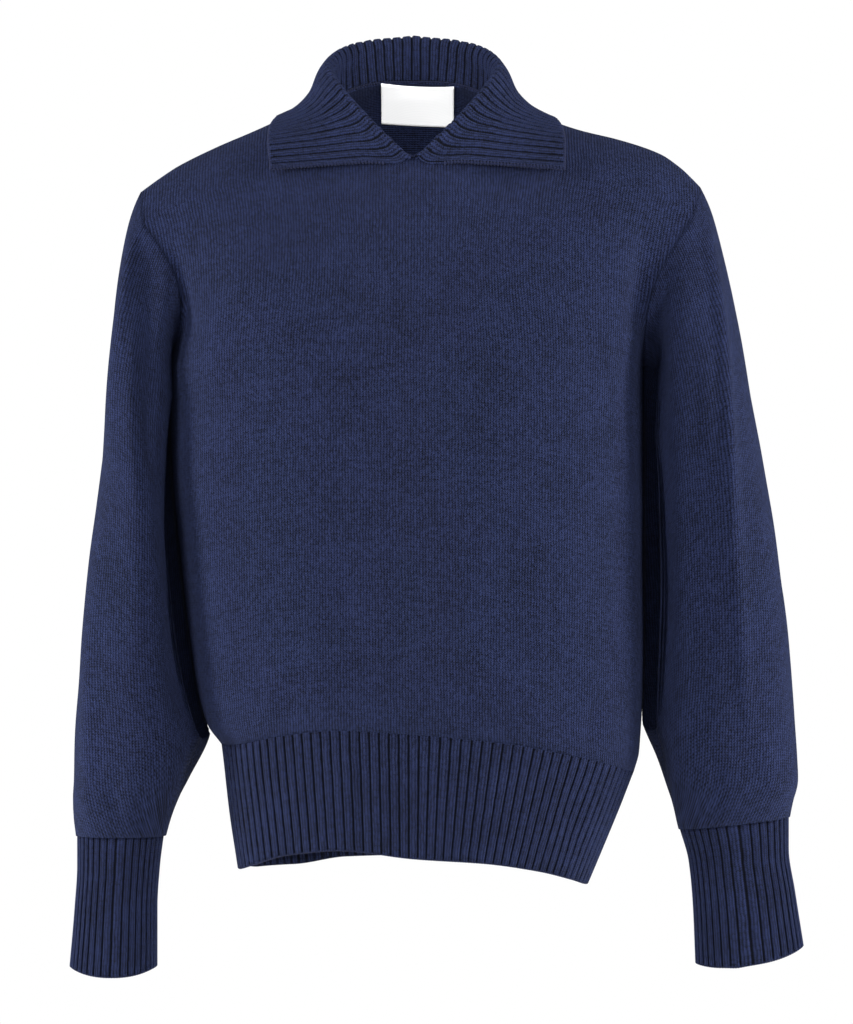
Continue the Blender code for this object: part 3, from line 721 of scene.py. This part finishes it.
def crease_heights(points, creases):
    """How far the creases and the cloth's own unevenness raise each point, in millimetres."""
    raised = np.zeros(points.shape[:-1])
    for row in creases:
        crease = dict(zip(CREASE_COLUMNS, row))
        start = np.array([crease["x0"], crease["z0"]], float)
        line = np.array([crease["x1"], crease["z1"]], float) - start
        length = np.linalg.norm(line)
        line /= length
        offset = points[..., [0, 2]] - start
        along = (offset @ line) / length
        beside = offset @ np.array([line[1], -line[0]])
        inside = np.clip(along, 0, 1)
        beside -= crease["bend"] * np.sin(np.pi * inside)
        fade = np.sin(np.pi * inside) ** CREASE_FADE_POWER
        facing = np.clip(points[..., 1] * crease["side"] / CREASE_SIDE_WIDTH + 0.5, 0, 1)
        raised += crease["height"] * fade * facing * np.exp(-((beside / crease["width"]) ** 2))
    flat = points.reshape(-1, 3) / UNEVEN_SIZE
    uneven = [noise.noise(place) for place in flat.tolist()]
    return raised + UNEVEN_HEIGHT * np.array(uneven).reshape(raised.shape)


def near_ends(count, reach):
    """A share for each row or column, from 0 at both ends of the grid to 1 this far in."""
    places = np.arange(count)
    return np.clip(np.minimum(places, count - 1 - places) / reach, 0, 1)


def faded_at_seams(heights):
    """The same heights, faded out over the first and last rows, so that seams still meet."""
    return heights * near_ends(len(heights), SEAM_FADE)[:, None]


def faded_at_armholes(heights):
    """The same heights of a panel, faded out towards the armholes too."""
    beside = near_ends(heights.shape[1], SIDE_FADE)[None, :]
    above = np.clip((np.arange(len(heights)) - LOWER_ROWS) / SIDE_FADE + 1, 0, 1)[:, None]
    return heights * mix(1.0, beside, above)


def quad_indices(rows, columns, width):
    """The corners of each face of a grid, whose rows hold width points and join up past the last."""
    row, column = np.meshgrid(np.arange(rows - 1), np.arange(columns - 1), indexing="ij")
    beside = (column + 1) % width
    corners = [row * width + column, row * width + beside]
    corners += [(row + 1) * width + beside, (row + 1) * width + column]
    return np.stack(corners, axis=-1).reshape(-1, 4)


def laid_flat(grid, closed):
    """Where each point lies on the flat cloth: across from the middle, and up from the last row."""
    ring = np.concatenate([grid, grid[:, :1]], axis=1) if closed else grid
    across = np.cumsum(np.linalg.norm(np.diff(ring, axis=1), axis=2), axis=1)
    across = np.pad(across, ((0, 0), (1, 0)))
    across -= across[:, [across.shape[1] // 2]]
    up = np.cumsum(np.linalg.norm(np.diff(ring, axis=0), axis=2), axis=0)
    up = np.pad(up, ((1, 0), (0, 0)))
    return np.stack([across, up], axis=-1)


def upright_layout(grid):
    """The same for a panel, whose wales stay upright above the armpits too, as they are knitted."""
    flat = laid_flat(grid, False)
    above = np.clip((np.arange(len(grid)) - LOWER_ROWS) / UPRIGHT_ROWS, 0, 1)[:, None]
    flat[..., 0] = mix(flat[..., 0], grid[..., 0], above)
    return flat


def rib_layout(grid, ribs, closed):
    """The same for ribs, where the wales follow each rib."""
    flat = laid_flat(grid, closed)
    flat[..., 0] = rib_columns(ribs) * RIB_WALES * WALE
    return flat


def cloth_piece(name, outer, inner, closed, flat, cloths, sides=None, ribs=None):
    """A cloth wall between its outer and inner points, with its own UV map in millimetres."""
    rows, width = outer.shape[:2]
    columns = flat.shape[1]
    count = rows * width
    faces = [quad_indices(rows, columns, width), quad_indices(rows, columns, width) + count]
    corners = [quad_indices(rows, columns, columns)] * 2
    for row in (0, rows - 1):
        here = np.arange(columns - 1)
        beside = (here + 1) % width
        edge = np.stack([row * width + here, row * width + beside], axis=-1)
        faces.append(np.concatenate([edge, edge[:, ::-1] + count], axis=1))
        flat_edge = np.stack([row * columns + here, row * columns + here + 1], axis=-1)
        corners.append(np.concatenate([flat_edge, flat_edge[:, ::-1]], axis=1))
    if not closed:
        for column in (0, width - 1):
            here = np.arange(rows - 1) * width + column
            edge = np.stack([here, here + width], axis=-1)
            faces.append(np.concatenate([edge, edge[:, ::-1] + count], axis=1))
            corners.append(faces[-1] % count)
    inside = np.concatenate([np.full(len(part), number == 1) for number, part in enumerate(faces)])
    faces, corners = np.concatenate(faces), np.concatenate(corners)
    points = np.concatenate([outer.reshape(-1, 3), inner.reshape(-1, 3)])
    mesh = bpy.data.meshes.new(name)
    mesh.from_pydata((points * MM).tolist(), [], faces.tolist())
    layer = mesh.uv_layers.new(name="Cloth")
    layer.data.foreach_set("uv", flat.reshape(-1, 2)[corners].astype(np.float32).ravel())
    for cloth in cloths:
        mesh.materials.append(cloth)
    mesh.polygons.foreach_set("material_index", inside.astype(np.int32))
    if ribs is not None:
        place = mesh.attributes.new("rib", "FLOAT", "POINT")
        lining = ribs + 0.5
        place.data.foreach_set("value", np.concatenate([ribs, lining]).astype(np.float32))
        raise_by = mesh.attributes.new("groove", "FLOAT_VECTOR", "POINT")
        pushed = np.concatenate([sides * -RIB_DEPTH, sides * LINING_RIB_DEPTH])
        raise_by.data.foreach_set("vector", (pushed * MM).astype(np.float32).ravel())
    shape = bmesh.new()
    shape.from_mesh(mesh)
    bmesh.ops.recalc_face_normals(shape, faces=shape.faces)
    if shape.calc_volume(signed=True) < 0:
        bmesh.ops.reverse_faces(shape, faces=shape.faces)
    shape.to_mesh(mesh)
    shape.free()
    mesh.shade_smooth()
    made = bpy.data.objects.new(name, mesh)
    bpy.context.scene.collection.objects.link(made)
    return made


def add(tree, kind, inputs=(), **settings):
    """Adds a node with its settings and its linked or given inputs, and returns its first output if any."""
    made = tree.nodes.new(kind)
    for name, value in settings.items():
        setattr(made, name, value)
    for key, value in dict(inputs).items():
        if isinstance(value, bpy.types.NodeSocket):
            tree.links.new(value, made.inputs[key])
        else:
            made.inputs[key].default_value = value
    return made.outputs[0] if made.outputs else None


def maths(tree, operation, *values):
    return add(tree, "ShaderNodeMath", dict(enumerate(values)), operation=operation)


def finish_with_nodes(obj, tree, values):
    """Runs a Geometry Nodes tree on an object, and keeps the result as its plain mesh."""
    modifier = obj.modifiers.new(tree.name, "NODES")
    modifier.node_group = tree
    for item in tree.interface.items_tree:
        if item.item_type == "SOCKET" and item.in_out == "INPUT" and item.name in values:
            modifier[item.identifier] = values[item.name]
    graph = bpy.context.evaluated_depsgraph_get()
    finished = bpy.data.meshes.new_from_object(obj.evaluated_get(graph))
    obj.modifiers.clear()
    old = obj.data
    obj.data = finished
    bpy.data.meshes.remove(old)
    finished.name = obj.name
    return obj


def new_geometry_tree(name, floats):
    tree = bpy.data.node_groups.new(name, "GeometryNodeTree")
    tree.interface.new_socket("Geometry", in_out="INPUT", socket_type="NodeSocketGeometry")
    for title, value in floats.items():
        made = tree.interface.new_socket(title, in_out="INPUT", socket_type="NodeSocketFloat")
        made.default_value = value
    tree.interface.new_socket("Material", in_out="INPUT", socket_type="NodeSocketMaterial")
    tree.interface.new_socket("Geometry", in_out="OUTPUT", socket_type="NodeSocketGeometry")
    return tree


def ended(tree, start, geometry):
    """The tree, once it ends in real geometry with its material."""
    real = add(tree, "GeometryNodeRealizeInstances", {"Geometry": geometry})
    named = add(tree, "GeometryNodeSetMaterial", {"Geometry": real, "Material": start["Material"]})
    add(tree, "NodeGroupOutput", {"Geometry": named})
    return tree


def rib_tree():
    """Sinks a thin groove between ribs and rounds each rib a little, along each point's own way."""
    defaults = {
        "Groove place": GROOVE_PLACE,
        "Groove half width": GROOVE_HALF_WIDTH,
        "Roundness": RIB_ROUNDNESS,
    }
    tree = new_geometry_tree("Ribs", defaults)
    start = add(tree, "NodeGroupInput").node.outputs
    rib = add(tree, "GeometryNodeInputNamedAttribute", {"Name": "rib"}, data_type="FLOAT")
    way = add(tree, "GeometryNodeInputNamedAttribute", {"Name": "groove"}, data_type="FLOAT_VECTOR")
    place = maths(tree, "FRACT", rib)
    beside = maths(tree, "SUBTRACT", place, start["Groove place"])
    wrapped = maths(tree, "WRAP", beside, 0.5, -0.5)
    beside = maths(tree, "ABSOLUTE", wrapped)
    groove = add(
        tree,
        "ShaderNodeMapRange",
        {"Value": beside, "From Max": start["Groove half width"], "To Min": 1.0, "To Max": 0.0},
        interpolation_type="SMOOTHSTEP",
    )
    edge = maths(tree, "SUBTRACT", 0.5, beside)
    square = maths(tree, "POWER", edge, 2.0)
    round_edge = maths(tree, "MULTIPLY", square, start["Roundness"])
    sunk = maths(tree, "ADD", groove, round_edge)
    offset = add(tree, "ShaderNodeVectorMath", {0: way, "Scale": sunk}, operation="SCALE")
    moved = add(tree, "GeometryNodeSetPosition", {"Geometry": start["Geometry"], "Offset": offset})
    return ended(tree, start, moved)


def stitch_tree():
    """Lays one small round stitch after another along the edges that it is given."""
    tree = new_geometry_tree("Stitches", dict.fromkeys(STITCH_COLUMNS, 1.0))
    start = add(tree, "NodeGroupInput").node.outputs
    curve = add(tree, "GeometryNodeMeshToCurve", {"Mesh": start["Geometry"]})
    even = add(
        tree, "GeometryNodeResampleCurve", {"Curve": curve, "Length": start["Pitch"]}, mode="LENGTH"
    )
    tangent = add(tree, "GeometryNodeInputTangent")
    turned = add(tree, "FunctionNodeAlignRotationToVector", {"Vector": tangent}, axis="X")
    lean = add(tree, "ShaderNodeCombineXYZ", {"X": 0.0, "Y": 0.0, "Z": start["Lean"]})
    leaning = add(tree, "FunctionNodeEulerToRotation", {0: lean})
    turned = add(
        tree, "FunctionNodeRotateRotation", {0: turned, 1: leaning}, rotation_space="LOCAL"
    )
    ball = add(tree, "GeometryNodeMeshIcoSphere", {"Radius": 0.5, "Subdivisions": 2})
    ball = add(tree, "GeometryNodeSetShadeSmooth", {0: ball})
    longer = maths(tree, "MULTIPLY", start["Pitch"], start["Length"])
    size = add(tree, "ShaderNodeCombineXYZ", {"X": longer, "Y": start["Width"], "Z": start["Height"]})
    laid = add(
        tree,
        "GeometryNodeInstanceOnPoints",
        {"Points": even, "Instance": ball, "Rotation": turned, "Scale": size},
    )
    return ended(tree, start, laid)


def new_material(name):
    made = bpy.data.materials.new(name)
    made.use_nodes = True
    return made, made.node_tree, made.node_tree.nodes["Principled BSDF"]


def blend(tree, share, low, high):
    """A colour between two sRGB hex colours."""
    colours = {0: share, 6: linear(low), 7: linear(high)}
    return add(tree, "ShaderNodeMix", colours, data_type="RGBA").node.outputs[2]


def finished(made, tree, shader, colour, settings):
    """The material, once its shader has its colour and its constant settings."""
    tree.links.new(colour, shader.inputs["Base Color"])
    for title, value in settings.items():
        shader.inputs[title].default_value = value
    return made


def bumped(tree, shader, height, strength, distance):
    bump = add(tree, "ShaderNodeBump", {"Strength": strength, "Distance": distance * MM, "Height": height})
    tree.links.new(bump, shader.inputs["Normal"])


def noise_over(tree, place, size, detail):
    """Soft noise with features about this wide."""
    return add(tree, "ShaderNodeTexNoise", {"Vector": place, "Scale": 1 / size, "Detail": detail})


def knit_material(name, purl=False, ribbed=False):
    """Wool knit: V stitches on the right side or rows of purl bumps on the other, with soft fuzz, and
    painted shade between the stitches and in the rib grooves.
    """
    made, tree, shader = new_material(name)
    layout = add(tree, "ShaderNodeUVMap", uv_map="Cloth")
    split = add(tree, "ShaderNodeSeparateXYZ", {"Vector": layout}).node.outputs
    wales = maths(tree, "DIVIDE", split["X"], WALE)
    courses = maths(tree, "DIVIDE", split["Y"], COURSE)
    # Yarn is never quite even, so each stitch is shifted and sized a little by this noise.
    wander = noise_over(tree, layout, DRIFT_SIZE, 2.0)
    drift = maths(tree, "MULTIPLY", wander, DRIFT)
    wales = maths(tree, "ADD", wales, drift)
    place = maths(tree, "FRACT", wales)
    centred = maths(tree, "SUBTRACT", place, 0.5)
    side = maths(tree, "ABSOLUTE", centred)
    # Each V has two legs that rise outwards by most of a course; purl bumps lie level.
    slant = maths(tree, "MULTIPLY", side, PURL_SLANT if purl else LEG_SLANT)
    rise = maths(tree, "ADD", courses, slant)
    turn = maths(tree, "MULTIPLY", rise, 2 * math.pi)
    wave = maths(tree, "COSINE", turn)
    # Each stitch takes the light a little differently, because no two loops are equally tight.
    column = maths(tree, "FLOOR", wales)
    row = maths(tree, "FLOOR", rise)
    loop = add(tree, "ShaderNodeCombineXYZ", {"X": column, "Y": row, "Z": 0.0})
    own = add(tree, "ShaderNodeTexWhiteNoise", {"Vector": loop}, noise_dimensions="2D")
    # The gap between two wales is deeper than the line between the two legs of one V.
    leg = maths(tree, "MULTIPLY", side, 2 * math.pi)
    leg = maths(tree, "COSINE", leg)
    legs_share, rows_share = PURL_RELIEF if purl else KNIT_RELIEF
    legs = maths(tree, "MULTIPLY_ADD", leg, legs_share, 0.5)
    height = maths(tree, "MULTIPLY_ADD", wave, rows_share, legs)
    # Loose fibres blur the stitches and give the knit its matt, slightly hairy look.
    fibres = noise_over(tree, layout, FIBRE_SIZE, 4.0)
    height = maths(tree, "MULTIPLY_ADD", fibres, FIBRE_SHARE, height)
    # Slightly lighter and darker patches, some tens of millimetres wide, as worn wool has.
    patches = noise_over(tree, layout, PATCH_SIZE, 3.0)
    # Yarn that varies along its length leaves faint level bands a few courses high.
    size = (1 / BAND_LENGTH, 1 / BAND_HEIGHT, 1.0)
    stretched = add(tree, "ShaderNodeVectorMath", {0: layout, 1: size}, operation="MULTIPLY")
    bands = noise_over(tree, stretched, 1.0, 2.0)
    # Painted shade: the stitch relief, which the bump also uses, darkens the colour in the gaps between
    # wales and courses; the patches, bands and stitch-to-stitch noise added to it are the yarn's own uneven
    # tone.
    shade_and_tone = maths(tree, "MULTIPLY_ADD", patches, PATCH_SHARE, height)
    shade_and_tone = maths(tree, "MULTIPLY_ADD", bands, BAND_SHARE, shade_and_tone)
    shade_and_tone = maths(tree, "MULTIPLY_ADD", own, STITCH_SHARE, shade_and_tone)
    if ribbed:
        # Painted shade: the groove between two ribs is a deep purl column that gets little light, so its
        # colour is darkened here.
        rib = add(tree, "ShaderNodeAttribute", attribute_name="rib").node.outputs["Fac"]
        across = maths(tree, "FRACT", rib)
        beside = maths(tree, "SUBTRACT", across, GROOVE_PLACE)
        beside = maths(tree, "ABSOLUTE", beside)
        groove_shade = {"Value": beside, "From Max": GROOVE_HALF_WIDTH, "To Min": GROOVE_PAINTED_SHADE, "To Max": 0.0}
        groove = add(tree, "ShaderNodeMapRange", groove_shade)
        shade_and_tone = maths(tree, "SUBTRACT", shade_and_tone, groove)
    share = add(tree, "ShaderNodeMapRange", {"Value": shade_and_tone, "From Min": DARK_TONE, "From Max": LIGHT_TONE})
    bumped(tree, shader, height, 1.0, 0.6)
    settings = {"Roughness": 0.92, "Specular IOR Level": 0.06, "Sheen Weight": 0.06, "Sheen Roughness": 0.55}
    settings["Sheen Tint"] = linear(NAVY_FUZZ)
    return finished(made, tree, shader, blend(tree, share, NAVY_SHADE, NAVY), settings)


def stockinette_material():
    return knit_material("navy wool stockinette, machine knitted")


def purl_material():
    return knit_material("navy wool purl side, machine knitted", purl=True)


def rib_material():
    return knit_material("navy wool wide rib, machine knitted", ribbed=True)


def yarn_material():
    """The bound-off edge loops and the neck linking: plied yarn in the cloth's own colour."""
    made, tree, shader = new_material("navy wool yarn, bound off")
    place = add(tree, "ShaderNodeTexCoord").node.outputs["Object"]
    plies = noise_over(tree, place, PLY_SIZE * MM, 3.0)
    bumped(tree, shader, plies, 0.6, 0.2)
    settings = {"Roughness": 0.9, "Specular IOR Level": 0.06, "Sheen Weight": 0.04}
    return finished(made, tree, shader, blend(tree, plies, NAVY_SHADE, YARN_NAVY), settings)


def label_material():
    """White satin label: fine level weft lines that dull the white a little at a glancing view."""
    made, tree, shader = new_material("white polyester satin, woven")
    layout = add(tree, "ShaderNodeUVMap", uv_map="Cloth")
    # The real weft is 0.1 mm apart, so it is drawn coarser, to show.
    weft = {"Vector": layout, "Scale": 1 / (WEFT_DRAWN * 2 * math.pi), "Distortion": 0.4}
    lines = add(tree, "ShaderNodeTexWave", weft, bands_direction="Y")
    share = maths(tree, "MULTIPLY", lines.node.outputs["Fac"], 0.5)
    bumped(tree, shader, share, 0.3, 0.1)
    settings = {"Roughness": 0.55, "Sheen Weight": 0.1}
    return finished(made, tree, shader, blend(tree, share, LABEL_WHITE, LABEL_SHADE), settings)


def thread_material():
    """White sewing thread, slightly glossy, with the twist of its plies as fine bands."""
    made, tree, shader = new_material("white polyester thread, twisted")
    place = add(tree, "ShaderNodeTexCoord").node.outputs["Object"]
    twist = noise_over(tree, place, TWIST_SIZE * MM, 1.0)
    colour = blend(tree, twist, LABEL_SHADE, THREAD_WHITE)
    return finished(made, tree, shader, colour, {"Roughness": 0.5})


def floor_material():
    """Pale matt studio floor with the faintest mottling."""
    made, tree, shader = new_material("white studio floor, painted")
    place = add(tree, "ShaderNodeTexCoord").node.outputs["Object"]
    mottle = noise_over(tree, place, MOTTLE_SIZE, 2.0)
    colour = blend(tree, mottle, FLOOR_SHADE, FLOOR_WHITE)
    return finished(made, tree, shader, colour, {"Roughness": 0.8})


def placed(piece, slot, *nodes):
    """Lets a piece ride on the body and stand for its nodes. Its slot is not used."""
    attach(piece, "root")
    if nodes:
        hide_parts(*nodes)
    return piece


def make_panels(front, back, normals, cloths):
    pieces = []
    for name, grid, way in (("front", front, normals[0]), ("back", back, normals[1])):
        way[0] = level_normals(way[0])
        raised = faded_at_armholes(faded_at_seams(crease_heights(grid, TORSO_CREASES)))
        outer = grid + way * raised[..., None]
        inner = outer - way * KNIT_THICKNESS
        piece = cloth_piece(f"{name}_panel", outer, inner, False, upright_layout(grid), cloths)
        pieces.append(placed(piece, "navy_stockinette", name))
    return pieces


def make_sleeve(side, name, grid, way, cloths):
    way[-1] = level_normals(way[-1])
    raised = faded_at_seams(crease_heights(grid, SLEEVE_CREASES[side]))
    outer = grid + way * raised[..., None]
    inner = outer - way * KNIT_THICKNESS
    piece = cloth_piece(f"{name}_sleeve", outer, inner, True, laid_flat(grid, True), cloths)
    return placed(piece, "navy_stockinette", f"sleeve_{name}")


def make_ribbed(name, grid, way, closed, ribs, cloth, tree, node, depth_in=0.0):
    """A ribbed band: its outer face stands depth_in outside the grid, and the ribs are sunk in it."""
    outer = grid + way * depth_in
    inner = outer - way * RIB_THICKNESS
    places = np.tile(rib_columns(ribs)[: grid.shape[1]], (grid.shape[0], 1)).ravel()
    flat = rib_layout(grid, ribs, closed)
    piece = cloth_piece(name, outer, inner, closed, flat, [cloth], way.reshape(-1, 3), places)
    finish_with_nodes(piece, tree, {"Material": cloth})
    return placed(piece, "navy_rib", node)


def make_stitches(name, paths, tree, cloth, slot, kind, closed=False):
    """A chain of stitches along each path of points."""
    points, edges = [], []
    for path in paths:
        start = len(points)
        points += (np.asarray(path) * MM).tolist()
        edges += [(start + i, start + i + 1) for i in range(len(path) - 1)]
        if closed:
            edges.append((len(points) - 1, start))
    mesh = bpy.data.meshes.new(name)
    mesh.from_pydata(points, edges, [])
    made = bpy.data.objects.new(name, mesh)
    bpy.context.scene.collection.objects.link(made)
    sizes = dict(zip(STITCH_COLUMNS, STITCHES[kind]))
    for title in ("Pitch", "Width", "Height"):
        sizes[title] *= MM
    finish_with_nodes(made, tree, {**sizes, "Material": cloth})
    return placed(made, slot)


def on_lining(tree, x, z, distance):
    """A point this far off the lining, or in line with it where the height is above its top edge."""
    hit, low = None, z
    while hit is None:
        hit, normal, _, _ = tree.ray_cast(Vector((x, 0, low)), Vector((0, 1, 0)))
        low -= LINING_STEP
    normal = normal if normal.y < 0 else -normal
    off = hit + normal * distance
    above = z - hit.z
    return x, off.y - above * LABEL_LEAN, off.z + above


def make_label(lining, cloth):
    """The bare label, from the inside of the back panel, moved in."""
    tree = cloth_tree([lining], [False])
    near, far = [], []
    for down in np.linspace(0, 1, LABEL_ROWS + 1):
        near_row, far_row = [], []
        for share in np.linspace(0, 1, LABEL_COLUMNS + 1):
            x = mix(LABEL["right"], LABEL["left"], share)
            z = LABEL["top"] - LABEL["height"] * down + LABEL["slope"] * x
            far_row.append(on_lining(tree, x, z, LABEL_GAP))
            near_row.append(on_lining(tree, x, z, LABEL_GAP + LABEL_THICKNESS))
        near.append(near_row)
        far.append(far_row)
    near, far = np.array(near), np.array(far)
    piece = cloth_piece("bare_label", near, far, False, laid_flat(near, False), [cloth, cloth])
    return placed(piece, "white_woven_label", "neck_label"), near


def make_camera():
    camera = bpy.data.cameras.new("camera")
    camera.sensor_width = SENSOR_WIDTH
    camera.sensor_fit = "AUTO"
    camera.lens = SENSOR_WIDTH * -CAMERA_PLACE[1] / SEEN_HEIGHT
    made = bpy.data.objects.new("camera", camera)
    made.location = CAMERA_PLACE
    made.rotation_euler = (math.pi / 2, 0, 0)
    bpy.context.scene.collection.objects.link(made)
    bpy.context.scene.camera = made


def aimed(light, place, target):
    """Hangs a light at its place, turned to its target."""
    made = bpy.data.objects.new(light.name, light)
    made.location = place
    made.rotation_euler = (Vector(target) - Vector(place)).to_track_quat("-Z", "Y").to_euler()
    bpy.context.scene.collection.objects.link(made)


def make_soft_lights():
    for row in SOFT_LIGHTS:
        given = dict(zip(LIGHT_COLUMNS, row))
        light = bpy.data.lights.new(given["name"], "AREA")
        light.shape = "RECTANGLE"
        light.size, light.size_y = given["size"]
        light.energy = given["watts"]
        aimed(light, given["place"], LIGHT_TARGET)


def make_neck_light():
    """A narrow beam from beside the camera, which reaches the label inside the neck."""
    light = bpy.data.lights.new("neck beam", "SPOT")
    light.energy = NECK_BEAM["watts"]
    light.spot_size = math.radians(NECK_BEAM["degrees"])
    light.spot_blend = 1.0
    light.shadow_soft_size = NECK_BEAM["radius"]
    aimed(light, NECK_BEAM["place"], NECK_BEAM["target"])


def make_world():
    """White where the camera sees it, and weaker as a light."""
    world = bpy.data.worlds.new("white ground")
    world.use_nodes = True
    tree = world.node_tree
    background = tree.nodes["Background"]
    seen = add(tree, "ShaderNodeLightPath").node.outputs["Is Camera Ray"]
    strength = add(tree, "ShaderNodeMapRange", {"Value": seen, "To Min": WORLD_FILL, "To Max": 1.0})
    background.inputs["Color"].default_value = (1.0, 1.0, 1.0, 1.0)
    tree.links.new(strength, background.inputs["Strength"])
    bpy.context.scene.world = world
    bpy.context.scene.view_settings.view_transform = "Standard"


def make_floor():
    mesh = bpy.data.meshes.new("floor")
    near, far = (-FLOOR_REACH, FLOOR_FAR_EDGE)
    corners = [(-FLOOR_REACH, near), (FLOOR_REACH, near), (FLOOR_REACH, far), (-FLOOR_REACH, far)]
    mesh.from_pydata([(x, y, FLOOR_HEIGHT) for x, y in corners], [], [(0, 1, 2, 3)])
    mesh.materials.append(floor_material())
    floor = bpy.data.objects.new("floor", mesh)
    bpy.context.scene.collection.objects.link(floor)


def main():
    make_camera()
    make_soft_lights()
    make_neck_light()
    make_world()
    make_floor()
    knit, purl, rib = stockinette_material(), purl_material(), rib_material()
    yarn, satin, thread = yarn_material(), label_material(), thread_material()
    ribs, stitches = rib_tree(), stitch_tree()
    half = RIB_THICKNESS / 2

    front, back = panel_grid(FRONT), panel_grid(BACK)
    sleeves = {side: sleeve_grid(side) for side in (LEFT, RIGHT)}
    grids = [(front, False, 1), (back, False, -1)]
    grids += [(sleeves[side], True, side) for side in (LEFT, RIGHT)]
    normals = skin_normals(grids)
    panels = make_panels(front, back, normals[:2], [knit, purl])
    lining = back - normals[1] * KNIT_THICKNESS
    tubes = []
    for number, (side, name) in enumerate(((LEFT, "left"), (RIGHT, "right"))):
        tubes.append(make_sleeve(side, name, sleeves[side], normals[2 + number], [knit, purl]))
        grid, way = cuff_grid(side)
        piece = make_ribbed(f"{name}_cuff", grid, way, True, CUFF_RIBS, rib, ribs, f"cuff_{name}")
        tubes.append(piece)
        edge = grid[-1] - way[-1] * half
        make_stitches(f"{name}_cuff_edge", [edge], stitches, yarn, "navy_rib", "bound_edge", True)
    bands = []
    for facing, name in ((FRONT, "front"), (BACK, "back")):
        grid, way = hem_grid(facing)
        below_seam = np.clip(np.arange(len(grid)) / SEAM_FADE, 0, 1)[:, None]
        creased = grid + way * (crease_heights(grid, HEM_CREASES) * below_seam)[..., None]
        piece = make_ribbed(f"{name}_hem", creased, way, False, HEM_RIBS, rib, ribs, f"hem_rib_{name}")
        bands.append(piece)
        edge = creased[-1] - way[-1] * half
        make_stitches(f"{name}_hem_edge", [edge], stitches, yarn, "navy_rib", "bound_edge")
    body = cloth_tree([front, back], [False, True])
    grid, way = collar_grid(body)
    collar = make_ribbed("folded_collar", grid, way, False, COLLAR_RIBS, rib, ribs, "collar", half)
    ends = [grid[END_ROW:, 0], grid[END_ROW:, -1]]
    make_stitches("collar_ends", ends, stitches, yarn, "navy_rib", "collar_end")
    make_stitches("collar_free_edge", [grid[-1]], stitches, yarn, "navy_rib", "collar_edge")
    seam = grid[0] + way[0] * half - np.array([0, 0, LINKING_DROP])
    make_stitches("neck_linking", [seam], stitches, yarn, "navy_rib", "linking")
    label, near = make_label(lining, satin)
    top = near[1] - np.array([0, SEWING_LIFT, 0])
    make_stitches("label_stitches", [top[1:-1]], stitches, thread, "white_woven_label", "sewing")
    return panels, tubes, bands, collar, label


panels, tubes, bands, collar, label = main()
